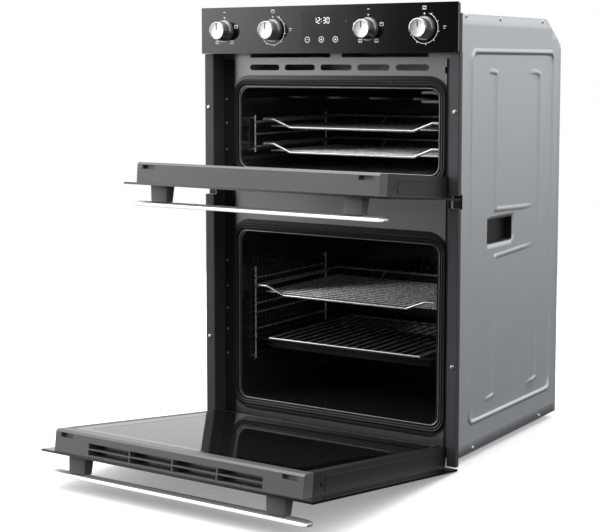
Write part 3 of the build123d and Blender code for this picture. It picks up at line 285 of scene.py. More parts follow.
def closed_ways(path):
    """Unit direction of a closed path at each point, from the point before it to the point after it."""
    way = np.roll(path, -1, 0) - np.roll(path, 1, 0)
    return way / np.maximum(np.linalg.norm(way, axis=1, keepdims=True), 1e-9)


def outward(outline):
    """Unit normal at each point of a flat closed outline, square to the direction of its two sides."""
    way = closed_ways(outline)
    return np.stack([way[:, 1], -way[:, 0]], -1)


def shrink(outline, amount):
    """Moves each point of an outline inwards along the mean normal of its two sides."""
    return outline - outward(outline) * amount


def slab_rings(outline, front, back, bevel):
    """Rings of a flat piece between two Y planes, with its front and back edges eased by a quarter round."""
    turns = np.linspace(0, math.pi / 2, 4)
    falls = [(bevel * (1 - math.sin(t)), bevel * (1 - math.cos(t))) for t in turns]
    rings = [front_ring(shrink(outline, a), front + b) for a, b in falls]
    rings += [front_ring(shrink(outline, b), back - a) for a, b in falls]
    return np.array(rings)


def carry_profile(path, normals, binormals, profile):
    """A closed profile carried along a path: point = path + a * normal + b * binormal for each (a, b)."""
    return (
        path[:, None, :]
        + profile[None, :, 0, None] * normals[:, None, :]
        + profile[None, :, 1, None] * binormals[:, None, :]
    )


# ------------------------------------------------------------------ shared surface patterns
def surface_pattern():
    """Node group: a fine grain and a broad cloud, each from 0 to 1, worked out from the given coordinates."""
    name = "Surface Pattern"
    if name in bpy.data.node_groups:
        return bpy.data.node_groups[name]
    group = bpy.data.node_groups.new(name, "ShaderNodeTree")
    socket = group.interface.new_socket
    socket("Vector", in_out="INPUT", socket_type="NodeSocketVector")
    socket("Grain Scale", in_out="INPUT", socket_type="NodeSocketFloat").default_value = 400.0
    socket("Cloud Scale", in_out="INPUT", socket_type="NodeSocketFloat").default_value = 6.0
    socket("Grain", in_out="OUTPUT", socket_type="NodeSocketFloat")
    socket("Cloud", in_out="OUTPUT", socket_type="NodeSocketFloat")
    nodes, links = group.nodes, group.links
    given = nodes.new("NodeGroupInput")
    result = nodes.new("NodeGroupOutput")
    for scale, out, detail in (("Grain Scale", "Grain", 3.0), ("Cloud Scale", "Cloud", 2.0)):
        noise = nodes.new("ShaderNodeTexNoise")
        noise.inputs["Detail"].default_value = detail
        links.new(given.outputs["Vector"], noise.inputs["Vector"])
        links.new(given.outputs[scale], noise.inputs["Scale"])
        links.new(noise.outputs["Fac"], result.inputs[out])
    return group


def ease_range(nodes, links, source, low, high):
    """A Map Range node that carries 0.3 to 0.7 of a noise onto the range from low to high."""
    node = nodes.new("ShaderNodeMapRange")
    node.inputs["From Min"].default_value = 0.3
    node.inputs["From Max"].default_value = 0.7
    node.inputs["To Min"].default_value = low
    node.inputs["To Max"].default_value = high
    links.new(source, node.inputs["Value"])
    return node.outputs["Result"]


def finish(name, colour, metallic, roughness, shade=0.06, spread=0.05, grain=400.0, cloud=6.0, bump=0.0,
           depth=0.0001, stretch=(1, 1, 1), coat=0.0, coat_roughness=0.05, specular=0.5, emission=0.0):
    """A material on Object coordinates: colour shaded by the cloud, roughness and bump by the grain."""
    material = bpy.data.materials.new(f"{name}_finish")
    material.use_nodes = True
    nodes, links = material.node_tree.nodes, material.node_tree.links
    shader = nodes["Principled BSDF"]
    settings = {"Metallic": metallic, "Coat Weight": coat, "Coat Roughness": coat_roughness,
                "Specular IOR Level": specular}
    if emission:
        settings |= {"Emission Color": (*colour, 1.0), "Emission Strength": emission}
    for socket, value in settings.items():
        shader.inputs[socket].default_value = value
    place = nodes.new("ShaderNodeTexCoord")
    mapping = nodes.new("ShaderNodeMapping")
    mapping.inputs["Scale"].default_value = stretch
    links.new(place.outputs["Object"], mapping.inputs["Vector"])
    pattern = nodes.new("ShaderNodeGroup")
    pattern.node_tree = surface_pattern()
    pattern.inputs["Grain Scale"].default_value = grain
    pattern.inputs["Cloud Scale"].default_value = cloud
    links.new(mapping.outputs["Vector"], pattern.inputs["Vector"])
    mix = nodes.new("ShaderNodeMix")
    mix.data_type = "RGBA"
    mix.inputs["A"].default_value = (*[c * (1 - shade) for c in colour], 1.0)
    mix.inputs["B"].default_value = (*[min(c * (1 + shade), 1.0) for c in colour], 1.0)
    links.new(ease_range(nodes, links, pattern.outputs["Cloud"], 0.0, 1.0), mix.inputs["Factor"])
    links.new(mix.outputs["Result"], shader.inputs["Base Color"])
    smoothest = max(roughness - spread, 0.0)
    rough = ease_range(nodes, links, pattern.outputs["Grain"], smoothest, roughness + spread)
    links.new(rough, shader.inputs["Roughness"])
    if bump:
        bumps = nodes.new("ShaderNodeBump")
        bumps.inputs["Strength"].default_value = bump
        bumps.inputs["Distance"].default_value = depth
        links.new(pattern.outputs["Grain"], bumps.inputs["Height"])
        links.new(bumps.outputs["Normal"], shader.inputs["Normal"])
    return material


# ------------------------------------------------------------------ finishes
# Each row: name, colour or the setting that holds it, metallic, roughness, and what differs from the usual.
FINISHES = {
    "galvanised_steel": ("galvanised_sheet", "sheet_colour", 0.62, 0.42,
        dict(shade=0.012, spread=0.02, grain=900, cloud=8, bump=0.04)),
    "black_moulding": ("black_moulding", (0.012, 0.012, 0.013), 0.0, 0.45, dict(grain=2500, bump=0.15)),
    "screw_steel": ("zinc_screw", (0.72, 0.73, 0.74), 1.0, 0.3, dict(grain=1500)),
    "front_plate_steel": ("plate_coating", "plate_colour", 0.85, 0.34,
        dict(shade=0.05, grain=1800, bump=0.06, stretch=(0.3, 1, 1))),
    "trim_grey": ("column_coating", "column_colour", 0.35, 0.38, dict(grain=2200, bump=0.05)),
    "hinge_steel": ("hinge_steel", (0.33, 0.33, 0.34), 1.0, 0.36, dict(grain=900, shade=0.12)),
    "black_enamel": ("black_enamel", "enamel_colour", 0.0, 0.16,
        dict(spread=0.04, grain=260, bump=0.05, depth=0.0003, specular=0.8)),
    "seal_rubber": ("seal_rubber", (0.009, 0.009, 0.0095), 0.0, 0.4, dict(grain=1800, bump=0.1)),
    "mineral_wool": ("mineral_wool", (0.62, 0.55, 0.34), 0.0, 0.95,
        dict(shade=0.2, grain=500, bump=0.9, depth=0.002)),
    "element_sheath": ("element_sheath", (0.16, 0.15, 0.15), 0.9, 0.4, dict(shade=0.2, grain=300)),
    "fan_aluminium": ("fan_aluminium", (0.62, 0.62, 0.64), 1.0, 0.35,
        dict(grain=800, stretch=(1, 0.2, 1))),
    "motor_steel": ("motor_steel", (0.22, 0.23, 0.25), 0.8, 0.45, dict(grain=700)),
    "lamp_glass": ("lamp_glass", (0.82, 0.82, 0.80), 0.0, 0.25,
        dict(grain=60, bump=0.3, depth=0.001, coat=0.4, emission=0.12)),
    "probe_steel": ("probe_steel", (0.6, 0.6, 0.61), 1.0, 0.25, dict(grain=900)),
    "rack_chrome": ("rack_chrome", "chrome_colour", 0.8, 0.26, dict(spread=0.05, grain=700)),
    "terminal_plastic": ("terminal_plastic", (0.7, 0.7, 0.68), 0.0, 0.5, dict(grain=1200, bump=0.1)),
    "panel_black_glass": ("panel_glass", "glass_colour", 0.0, 0.05,
        dict(spread=0.01, grain=3.0, coat=0.15, coat_roughness=0.03)),
    "pilot_amber": ("pilot_amber", (0.16, 0.03, 0.02), 0.0, 0.3, dict(grain=500)),
    "carrier_plastic": ("carrier_plastic", (0.03, 0.03, 0.032), 0.0, 0.5, dict(grain=1500, bump=0.1)),
    "display_plastic": ("display_plastic", (0.004, 0.004, 0.005), 0.0, 0.12, dict(grain=500)),
    "bezel_chrome": ("dark_chrome", (0.4, 0.4, 0.41), 0.9, 0.34, dict(grain=900)),
    "switch_plastic": ("switch_plastic", (0.55, 0.52, 0.45), 0.0, 0.5, dict(grain=900)),
    "knob_steel": ("knob_face", (0.86, 0.86, 0.87), 1.0, 0.3, dict(grain=1400, stretch=(0.2, 1, 1))),
    "door_black_glass": ("door_glass", "glass_colour", 0.0, 0.06, dict(spread=0.01, grain=3.0)),
    "door_frame_grey": ("door_frame_coating", "moulding_colour", 0.0, 0.42, dict(grain=1600, bump=0.12)),
    "door_trim_grey": ("door_trim_coating", "trim_colour", 0.2, 0.4,
        dict(grain=2600, bump=0.1, shade=0.04)),
    "door_inner_glass": ("reflective_glass", (0.008, 0.009, 0.010), 0.0, 0.04,
        dict(spread=0.01, grain=2.0, specular=0.12)),
    "handle_chrome": ("handle_chrome", (0.74, 0.74, 0.75), 0.7, 0.34,
        dict(spread=0.05, grain=900, stretch=(0.05, 1, 1), bump=0.03)),
    "post_grey": ("post_grey", (0.12, 0.12, 0.125), 0.1, 0.45, dict(grain=2400, bump=0.08)),
    # Printed white marks: the colour is the ink's own, the glow (emission) is painted brightness on top of it.
    "white_ink": ("white_ink", (0.82, 0.82, 0.84), 0.0, 0.5, dict(grain=1500, emission=0.6)),
    "lit_digits": ("lit_digits", (0.95, 0.96, 1.0), 0.0, 0.5, dict(grain=500, emission=1.1)),
    # Painted highlight: a near-white finish that glows, laid on the handle bars' upper faces.
    "bright_edge": ("bright_edge", (0.92, 0.92, 0.93), 0.25, 0.3,
        dict(grain=900, shade=0.02, emission=0.7)),
    "touch_black": ("touch_black", (0.0025, 0.0025, 0.003), 0.0, 0.12, dict(grain=400)),
    "perforation": ("perforation", (0.2, 0.2, 0.21), 0.6, 0.4, dict(grain=400)),
    "printed_black": ("printed_black", (0.003, 0.003, 0.0035), 0.0, 0.12, dict(grain=400)),
}


def finish_of(slot):
    """The finish of a slot, made once; a colour given as a word is read from the scene's settings."""
    name, colour, metallic, roughness, rest = FINISHES[slot]
    if isinstance(colour, str):
        colour = getattr(bpy.context.scene.oven_looks, colour)
    made = bpy.data.materials.get(f"{name}_finish")
    return made or finish(name, colour, metallic, roughness, **rest)


# ------------------------------------------------------------------ sizes and colours a user would change
def colour_setting(name, description, default):
    """A colour that a user can change."""
    return bpy.props.FloatVectorProperty(name=name, description=description, subtype="COLOR", default=default)


class OvenLooks(bpy.types.PropertyGroup):
    """Colours of the finishes."""

    sheet_colour: colour_setting("Sheet colour", "Galvanised case sheet", (0.57, 0.60, 0.63))
    plate_colour: colour_setting("Plate colour", "Coating of the front plate", (0.29, 0.29, 0.30))
    column_colour: colour_setting("Column colour", "Coating of the side trims", (0.085, 0.085, 0.09))
    enamel_colour: colour_setting("Enamel colour", "Enamel of the cavities", (0.02, 0.02, 0.021))
    chrome_colour: colour_setting("Chrome colour", "Plating of shelves and racks", (0.92, 0.92, 0.93))
    glass_colour: colour_setting("Glass colour", "Printed black glass", (0.004, 0.004, 0.005))
    moulding_colour: colour_setting("Moulding colour", "Sides of the doors", (0.022, 0.022, 0.024))
    trim_colour: colour_setting("Trim colour", "Top trims of the doors", (0.132, 0.133, 0.139))
    rib_height: bpy.props.FloatProperty(
        name="Rib height", description="Height of the pressed ribs", unit="LENGTH", default=0.003)


class StudioSettings(bpy.types.PropertyGroup):
    """Camera and light of the studio."""

    camera_place: bpy.props.FloatVectorProperty(
        name="Camera place", description="Where the camera stands", subtype="TRANSLATION", unit="LENGTH",
        default=(1.513, -2.6565, 0.761))
    camera_turn: bpy.props.FloatProperty(
        name="Camera turn", description="Turn to the left from straight on", subtype="ANGLE",
        default=math.radians(33.3))
    camera_dip: bpy.props.FloatProperty(
        name="Camera dip", description="Turn down from level", subtype="ANGLE", default=math.radians(5.38))
    lens: bpy.props.FloatProperty(name="Lens", description="Focal length in millimetres", default=85.74)
    shift: bpy.props.FloatProperty(name="Shift", description="Vertical lens shift", default=-0.11)
    backdrop: bpy.props.FloatProperty(name="Backdrop", description="Brightness of the backdrop", default=1.0)
    left_light: bpy.props.FloatProperty(
        name="Left light", description="Brightness of the soft light", default=4.0)


# ------------------------------------------------------------------ studio
# Brightness of the room's wall, by degrees round from the front towards the left.
WALL_STOPS = ((-180, 0.28), (-100, 0.30), (-60, 0.26), (-35, 0.05), (0, 0.01), (27, 0.01), (30, 0.06), (33, 0.35),
              (36, 0.72), (39, 0.95), (75, 0.8), (110, 0.35), (180, 0.28))
# Brightness overhead and below, and the heights of the view direction over which each fades in.
OVERHEAD_LIGHT, OVERHEAD_START, OVERHEAD_SLOPE = 1.35, 0.35, 3.0
BELOW_LIGHT, BELOW_START, BELOW_SLOPE = 0.04, 0.13, 6.2
FLOOR_SIDES, FLOOR_SHARES = 96, (0.02, 0.3, 1.0)


def angle_ramp(nodes, stops):
    """A ramp whose stops are given as (degrees round from the front towards the left, brightness 0 to 1)."""
    ramp = nodes.new("ShaderNodeValToRGB")
    elements = ramp.color_ramp.elements
    while len(elements) > 1:
        elements.remove(elements[-1])
    for number, (degrees, value) in enumerate(stops):
        place = degrees / 360 + 0.5
        element = elements[0] if number == 0 else elements.new(place)
        element.position = place
        element.color = (value, value, value, 1.0)
    return ramp


def studio_world(studio):
    """A soft room: bright wall behind, a wide soft light on the left, a dark gap where the camera stands."""
    world = bpy.data.worlds.new("studio")
    bpy.context.scene.world = world
    world.use_nodes = True
    nodes, links = world.node_tree.nodes, world.node_tree.links
    nodes.clear()
    way = nodes.new("ShaderNodeTexCoord")
    parts = nodes.new("ShaderNodeSeparateXYZ")
    links.new(way.outputs["Generated"], parts.inputs["Vector"])

    def maths(operation, first, second=None, clamp=False):
        node = nodes.new("ShaderNodeMath")
        node.operation = operation
        node.use_clamp = clamp
        for socket, value in zip(node.inputs, (first, second)):
            if isinstance(value, (int, float)):
                socket.default_value = value
            elif value is not None:
                links.new(value, socket)
        return node.outputs["Value"]

    left = maths("MULTIPLY", parts.outputs["X"], -1.0)
    front = maths("MULTIPLY", parts.outputs["Y"], -1.0)
    turn = maths("ADD", maths("DIVIDE", maths("ARCTAN2", left, front), 2 * math.pi), 0.5)
    wall = angle_ramp(nodes, WALL_STOPS)
    links.new(turn, wall.inputs["Fac"])
    wall_light = maths("MULTIPLY", wall.outputs["Color"], studio.left_light)
    height = maths("MULTIPLY", maths("SUBTRACT", parts.outputs["Z"], OVERHEAD_START), OVERHEAD_SLOPE, clamp=True)
    overhead = nodes.new("ShaderNodeMix")
    overhead.inputs["B"].default_value = OVERHEAD_LIGHT
    links.new(height, overhead.inputs["Factor"])
    links.new(wall_light, overhead.inputs["A"])
    below = maths("MULTIPLY", maths("ADD", parts.outputs["Z"], BELOW_START), BELOW_SLOPE, clamp=True)
    lower = nodes.new("ShaderNodeMix")
    lower.inputs["A"].default_value = BELOW_LIGHT
    links.new(below, lower.inputs["Factor"])
    links.new(overhead.outputs["Result"], lower.inputs["B"])
    room = nodes.new("ShaderNodeBackground")
    links.new(lower.outputs["Result"], room.inputs["Strength"])
    seen = nodes.new("ShaderNodeBackground")
    seen.inputs["Strength"].default_value = studio.backdrop
    for light in (room, seen):
        light.inputs["Color"].default_value = (1.0, 1.0, 1.0, 1.0)
    rays = nodes.new("ShaderNodeLightPath")
    choose = nodes.new("ShaderNodeMixShader")
    links.new(rays.outputs["Is Camera Ray"], choose.inputs["Fac"])
    links.new(room.outputs["Background"], choose.inputs[1])
    links.new(seen.outputs["Background"], choose.inputs[2])
    out = nodes.new("ShaderNodeOutputWorld")
    links.new(choose.outputs["Shader"], out.inputs["Surface"])


def soft_light(name, place, aim, size, power):
    """A square area light that faces a point."""
    data = bpy.data.lights.new(name, "AREA")
    data.size = size
    data.energy = power
    light = bpy.data.objects.new(name, data)
    bpy.context.scene.collection.objects.link(light)
    light.location = place
    light.rotation_euler = (Vector(aim) - Vector(place)).to_track_quat("-Z", "Y").to_euler()
    return light


class OVEN_OT_studio(bpy.types.Operator):
    """Makes the floor, the room's light and the camera"""

    bl_idname = "oven.studio"
    bl_label = "Studio"

    def execute(self, context):
        studio = context.scene.oven_studio
        context.scene.view_settings.view_transform = "Standard"
        studio_world(studio)
        floor_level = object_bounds()[0][2] - 1.0 * MM
        outline = circle(STAGE_SIZE / 2, FLOOR_SIDES, (0.0, -0.2))
        level = np.full(FLOOR_SIDES, floor_level)
        rings = np.array([np.stack([outline[:, 0] * k, outline[:, 1] * k, level], -1) for k in FLOOR_SHARES])
        mesh = bpy.data.meshes.new("studio_floor")
        faces = grid_faces(len(FLOOR_SHARES), FLOOR_SIDES, True) + [list(range(FLOOR_SIDES))[::-1]]
        mesh.from_pydata(rings.reshape(-1, 3).tolist(), [], faces)
        mesh.update()
        pale = finish("pale_floor", (0.9, 0.9, 0.9), 0.0, 0.6, shade=0.01, specular=0.1, emission=0.3)
        mesh.materials.append(pale)
        floor = bpy.data.objects.new("studio_floor", mesh)
        context.scene.collection.objects.link(floor)
        floor.visible_glossy = False
        floor.visible_diffuse = False
        floor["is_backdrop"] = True
        soft_light("top_light", (-0.6, -0.6, 3.2), (0.0, 0.0, 0.3), 2.6, 60.0)
        data = bpy.data.cameras.new("camera")
        data.lens = studio.lens
        data.shift_y = studio.shift
        data.clip_end = 50.0
        camera = bpy.data.objects.new("camera", data)
        context.scene.collection.objects.link(camera)
        camera.location = studio.camera_place
        camera.rotation_euler = Euler((math.pi / 2 - studio.camera_dip, 0.0, studio.camera_turn))
        context.scene.camera = camera
        return {"FINISHED"}


class OVEN_OT_finishes(bpy.types.Operator):
    """Gives every CAD node the finish of its slot"""

    bl_idname = "oven.finishes"
    bl_label = "Finishes"

    def execute(self, context):
        for part in frame["record"]["subparts"]:
            node = frame["nodes"][part["node"]]
            material = finish_of(part["material_slot"])
            if node.data.materials:
                for index in range(len(node.data.materials)):
                    node.data.materials[index] = material
            else:
                node.data.materials.append(material)
        return {"FINISHED"}


# ------------------------------------------------------------------ case pieces
def mm_points(points):
    """Points in millimetres, as an array of metres."""
    return np.asarray(points, float) * MM


def within(values, limits):
    """True where a value lies between the two limits."""
    middle, half = sum(limits) / 2, (limits[1] - limits[0]) / 2
    return abs(values - middle) < half


def line_field(places, spacing, low, high, reach=9.0, fine=1.5):
    """Grid lines from low to high, spaced evenly, with fine ones on both sides of every given place."""
    lines = [np.linspace(low, high, max(int(round((high - low) / spacing)), 1) + 1)]
    for place in places:
        lines.append(np.arange(place - reach, place + reach + fine / 2, fine))
    joined = np.unique(np.round(np.concatenate(lines), 3))
    return joined[(joined >= low) & (joined <= high)]


def bead_height(depth, level, runs, height, half_width):
    """Height of pressed beads: a raised cosine of the distance to the nearest of the straight runs, each given as
    (start depth, start level, end depth, end level, strength)."""
    best = np.zeros(np.broadcast(depth, level).shape)
    for d0, z0, d1, z1, strength in runs:
        way = np.array([d1 - d0, z1 - z0])
        along = np.clip(((depth - d0) * way[0] + (level - z0) * way[1]) / max(way @ way, 1e-9), 0, 1)
        away = np.hypot(depth - d0 - along * way[0], level - z0 - along * way[1])
        swell = 0.5 * (1 + np.cos(np.pi * np.clip((away - half_width * 0.3) / (half_width * 0.7), 0, 1)))
        best = np.maximum(best, strength * height * swell)
    return best


class OVEN_OT_side_panels(bpy.types.Operator):
    """Makes the two pressed side panels of the case"""

    bl_idname = "oven.side_panels"
    bl_label = "Side Panels"

    def execute(self, context):
        """Each panel is a sheet whose height at (depth, level) is the raised cosine of the distance to its beads.
        It is cut off along the sloping upper back edge and has a window for the carrying recess."""
        looks = context.scene.oven_looks
        top = (SIDE_HIGH[2] - SIDE_LOW[2]) / MM
        depths = np.union1d(line_field(BEAD_DEPTHS, 19.0, SHEET_FRONT, SHEET_BACK), WINDOW_DEPTHS)
        levels = np.union1d(line_field(BEAD_LEVELS, 22.0, 0.0, top), WINDOW_LEVELS)
        level, depth = np.meshgrid(levels, depths, indexing="ij")
        raised = bead_height(depth, level, BEAD_RUNS, looks.rib_height / MM, BEAD_HALF_WIDTH)
        for d, z in DIMPLES:
            raised -= DIMPLE_DEPTH * np.exp(-((depth - d) ** 2 + (level - z) ** 2) / DIMPLE_SPREAD)
        slope = SHEET_BACK - np.clip(level - (top - CORNER_DROP), 0, CORNER_DROP) * CORNER_RUN / CORNER_DROP
        clipped = np.minimum(depth, slope)
        count = len(depths)
        middle_depth = (depth[:-1, :-1] + depth[1:, 1:]) / 2
        middle_level = (level[:-1, :-1] + level[1:, 1:]) / 2
        inside = within(middle_depth, WINDOW_DEPTHS) & within(middle_level, WINDOW_LEVELS)
        gone = clipped[:-1, 1:] - clipped[:-1, :-1] + clipped[1:, 1:] - clipped[1:, :-1] < 1e-6
        keep = ~(inside | gone)
        for side, name in ((-1, "left"), (1, "right")):
            x = side * (SIDE_HIGH[0] / MM - SHEET_INSET + raised)
            points = mm_points(np.stack([x, GLASS_FACE / MM + clipped, level], -1))
            faces = np.array(grid_faces(len(levels), count))[keep.ravel()]
            faces = faces if side > 0 else faces[:, ::-1]
            sheet = new_piece(f"{name}_side_sheet", points, faces.tolist(), "galvanised_steel", "case",
                              replaces=(f"side_panel_{name}",), smooth_angle=60.0, turn=False)
            wall = sheet.modifiers.new("Sheet", "SOLIDIFY")
            wall.thickness = SHEET_THICKNESS * MM
            wall.offset = -1.0
            flange = Shell()
            for low, high in ((0.0, HINGE_NOTCH[0]), (HINGE_NOTCH[1], top)):
                outline = np.array([(FLANGE_INNER, low), (FLANGE_OUTER, low),
                                    (FLANGE_OUTER, high), (FLANGE_INNER, high)]) * MM
                outline[:, 0] *= side
                flange.add_rings(slab_rings(outline, behind(20.0), behind(21.2), 0.3 * MM))
            flange.piece(f"{name}_front_flange", "galvanised_steel", "case",
                         replaces=(f"side_panel_{name}",))
            backing = Shell()
            outline = rounded_rectangle(19.0 * MM, 29.0 * MM, 0.5 * MM, 2, (side * 287.5 * MM, 504.5 * MM))
            backing.add_rings(slab_rings(outline, behind(23.6), behind(25.0), 0.2 * MM))
            backing.piece(f"{name}_notch_backing", "black_moulding", "case")
            clips = Shell()
            for clip_level in CLIP_LEVELS:
                outline = rounded_rectangle(7 * MM, 11 * MM, 2 * MM, centre=(side * 288 * MM, clip_level * MM))
                clips.add_rings(slab_rings(outline, behind(18.0), behind(19.9), 0.5 * MM))
            clips.piece(f"{name}_front_clips", "terminal_plastic", "case")
        return {"FINISHED"}


class OVEN_OT_uprights(bpy.types.Operator):
    """Makes the two folded front uprights with their dark ribbed strips"""

    bl_idname = "oven.uprights"
    bl_label = "Uprights"

    def execute(self, context):
        """Each upright is a folded channel: one profile across the width and depth, drawn upwards between two
        levels, above and below the door's hinge gap."""
        for side, name in ((-1, "left"), (1, "right")):
            channel = Shell()
            runs = ((UPRIGHT_CHANNEL, UPRIGHT_FOOT, UPRIGHT_NOTCH[0]), (UPRIGHT_WALL, *UPRIGHT_NOTCH),
                    (UPRIGHT_CHANNEL, UPRIGHT_NOTCH[1], UPRIGHT_TOP))
            for profile, low, high in runs:
                ring = np.array([(side * x, GLASS_FACE / MM + d, 0.0) for x, d in profile])
                rings = np.stack([ring + (0, 0, z) for z in (low, low + 0.4, high - 0.4, high)])
                channel.add_rings(mm_points(rings))
            channel.piece(f"{name}_upright", "trim_grey", "case", replaces=(f"side_trim_{name}",),
                          smooth_angle=25.0)
            strip = Shell()
            across = np.linspace(0.0, 1.0, STRIP_POINTS)
            x = STRIP_INNER + STRIP_WIDTH * across
            fold = STRIP_FOLD_RISE * (0.5 + 0.5 * np.cos(across * 2 * math.pi * STRIP_FOLDS))
            front = np.stack([side * x, GLASS_FACE / MM + STRIP_FACE - fold, np.zeros_like(x)], -1)
            back = np.stack([side * x[::-1], np.full_like(x, GLASS_FACE / MM + STRIP_BACK), np.zeros_like(x)], -1)
            ring = np.concatenate([front, back])
            strip.add_rings(mm_points(np.stack([ring + (0, 0, level) for level in STRIP_LEVELS])))
            strip.piece(f"{name}_ribbed_strip", "black_moulding", "case",
                        smooth_angle=60.0)
            studs = Shell()
            for level in STUD_LEVELS:
                outline = circle(2.6 * MM, 20, (side * 268 * MM, level * MM))
                studs.add_rings(slab_rings(outline, behind(45.6), behind(47.6), 1.0 * MM))
            for level in UPRIGHT_SCREW_LEVELS:
                outline = circle(4.2 * MM, 24, (side * 287 * MM, level * MM))
                studs.add_rings(slab_rings(outline, behind(7.4), behind(9.2), 1.0 * MM))
            studs.piece(f"{name}_upright_screws", "screw_steel", "case")
        return {"FINISHED"}


class OVEN_OT_case_screws(bpy.types.Operator):
    """Makes the domed screws of the case with their cross recesses"""

    bl_idname = "oven.case_screws"
    bl_label = "Case Screws"

    def execute(self, context):
        """Each head is a turned profile: widest at the sheet, rounded over by a quarter circle, with a cross whose
        depth falls where either arm of the cross covers the point."""
        heads = Shell()
        radii = np.linspace(0.0, 1.0, 9)
        turns = np.linspace(0, 2 * math.pi, 32, endpoint=False)
        r, turn = np.meshgrid(radii, turns, indexing="ij")
        rise = np.sqrt(np.clip(1 - 0.75 * r ** 2, 0, 1)) * SCREW_RISE
        rise[-1] = 0.0
        a, b = SCREW_RADIUS * r * np.cos(turn), SCREW_RADIUS * r * np.sin(turn)
        cross = (np.minimum(abs(a), abs(b)) < CROSS_HALF_WIDTH) & (np.maximum(abs(a), abs(b)) < CROSS_REACH)
        rise = rise - CROSS_DEPTH * cross
        for side in (-1, 1):
            for depth, level in SIDE_SCREWS:
                points = np.stack([side * (278.0 + rise), GLASS_FACE / MM + depth + a, level + b * 0.97], -1)
                heads.add_rings(mm_points(points[::-1]))
        for x, z in BACK_SCREWS:
            points = np.stack([x + a, CASE_HIGH[1] / MM + rise * 0.99, z + b], -1)
            heads.add_rings(mm_points(points[::-1]))
        heads.piece("case_screw_heads", "screw_steel", "case",
                    replaces=("case_screws",))
        return {"FINISHED"}


# ------------------------------------------------------------------ mouths of the cavities
def seal_rings(half_width, low, high, radius, width, tall):
    """Rings of a bulb seal, carried round a rounded rectangle in front of the plate. The bulb's height is the
    raised sine of the angle less a narrow dip in the middle."""
    outline = rounded_rectangle(2 * half_width, high - low, radius, 8, (0.0, (low + high) / 2))
    turn = np.linspace(0.0, math.pi, 15)
    a = np.cos(turn) * width / 2
    b = np.sin(turn) ** 0.6 * tall - 1.4 * np.exp(-(a / 1.1) ** 2)
    rings = []
    for place, out in zip(outline, outward(outline)):
        x = place[0] + out[0] * a
        z = place[1] + out[1] * a
        rings.append(np.stack([x, (PLATE_LOW[1] / MM - 1.3) - b, z], -1))
    return mm_points(np.array(rings))


class OVEN_OT_seals(bpy.types.Operator):
    """Makes the two door seals and the bright rims of the mouths"""

    bl_idname = "oven.seals"
    bl_label = "Seals"

    def execute(self, context):
        """A grooved bulb is carried round each mouth, with a thin round bead just inside it."""
        for name, half, low, high, width in SEALS:
            ring = Shell()
            ring.add_rings(seal_rings(half, low, high, SEAL_RADIUS, width, SEAL_TALL), closed_rows=True)
            ring.piece(f"{name}_bulb_seal", "seal_rubber", "case",
                       replaces=(f"{name}_seal",), smooth_angle=70.0)
            outline = rounded_rectangle(2 * (half - RIM_INSET), high - low - 2 * RIM_INSET, RIM_RADIUS, 8,
                                        (0.0, (low + high) / 2))
            path = front_ring(outline, PLATE_LOW[1] / MM - 2.0)
            facing = np.broadcast_to((0.0, -1.0, 0.0), path.shape)
            rings = carry_profile(path, facing, np.cross(closed_ways(path), facing), circle(RIM_WIRE, 10))
            rim = Shell()
            rim.add_rings(mm_points(rings), closed_rows=True)
            rim.piece(f"{name}_mouth_rim", "hinge_steel", "case", smooth_angle=70.0)
        return {"FINISHED"}


class OVEN_OT_cavity_details(bpy.types.Operator):
    """Makes the lamp lenses and the perforations of the side liners"""

    bl_idname = "oven.cavity_details"
    bl_label = "Cavity Details"

    def execute(self, context):
        """Lenses are slabs with rounded corners and eased edges; perforations are rows of small flat discs."""
        for name in ("upper", "lower"):
            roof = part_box(f"{name}_liner")[1][2] - LENS_ROOF_GAP * MM
            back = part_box("lamp_lenses")[0][1]
            lens = Shell()
            outline = rounded_rectangle(92 * MM, 26 * MM, 6 * MM, centre=(14 * MM, roof - 24 * MM))
            lens.add_rings(slab_rings(outline, back, back + 8 * MM, 2.0 * MM))
            lens.piece(f"{name}_lamp_lens", "lamp_glass", "case",
                       replaces=("lamp_lenses",))
        dots = Shell()
        low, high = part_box("side_liners")
        rows = np.arange(low[2] + 16 * MM, high[2] - 12 * MM, 13 * MM)
        columns = np.arange(low[1] + 18 * MM, high[1] - 14 * MM, 15 * MM)
        turn = np.linspace(0, 2 * math.pi, DOT_SIDES, endpoint=False)
        for side in (-1, 1):
            x = side * (high[0] - 1.0 * MM)
            for z in rows:
                for y in columns:
                    rim = np.stack([np.full(DOT_SIDES, x - side * 0.25 * MM),
                                    y + DOT_RADIUS * MM * np.cos(turn), z + DOT_RADIUS * MM * np.sin(turn)], -1)
                    base = rim + (side * 0.5 * MM, 0, 0)
                    dots.add_rings(np.stack([rim, base]))
        dots.piece("liner_perforations", "perforation", "case", smooth_angle=30.0)
        return {"FINISHED"}


# ------------------------------------------------------------------ doors
def bar_rings(half_length, half_height, end_radius):
    """Rings of a flat bar from its face to its back: an outline with rounded ends, drawn in by a small round at
    the face, and by a round and then an even slope at the back."""
    outline = rounded_rectangle(2 * half_length, 2 * half_height, end_radius, 10)
    inward = np.array((2.4, 1.2, 0.4, 0.0, 0.0, 0.3, 1.0, 2.2, 8.6, 9.4)) * MM
    depth = np.array((0.0, 0.3, 1.0, 2.0, 5.0, 5.8, 6.4, 7.0, 9.8, 10.0)) * MM
    return np.array([front_ring(shrink(outline, i), d) for i, d in zip(inward, depth)])


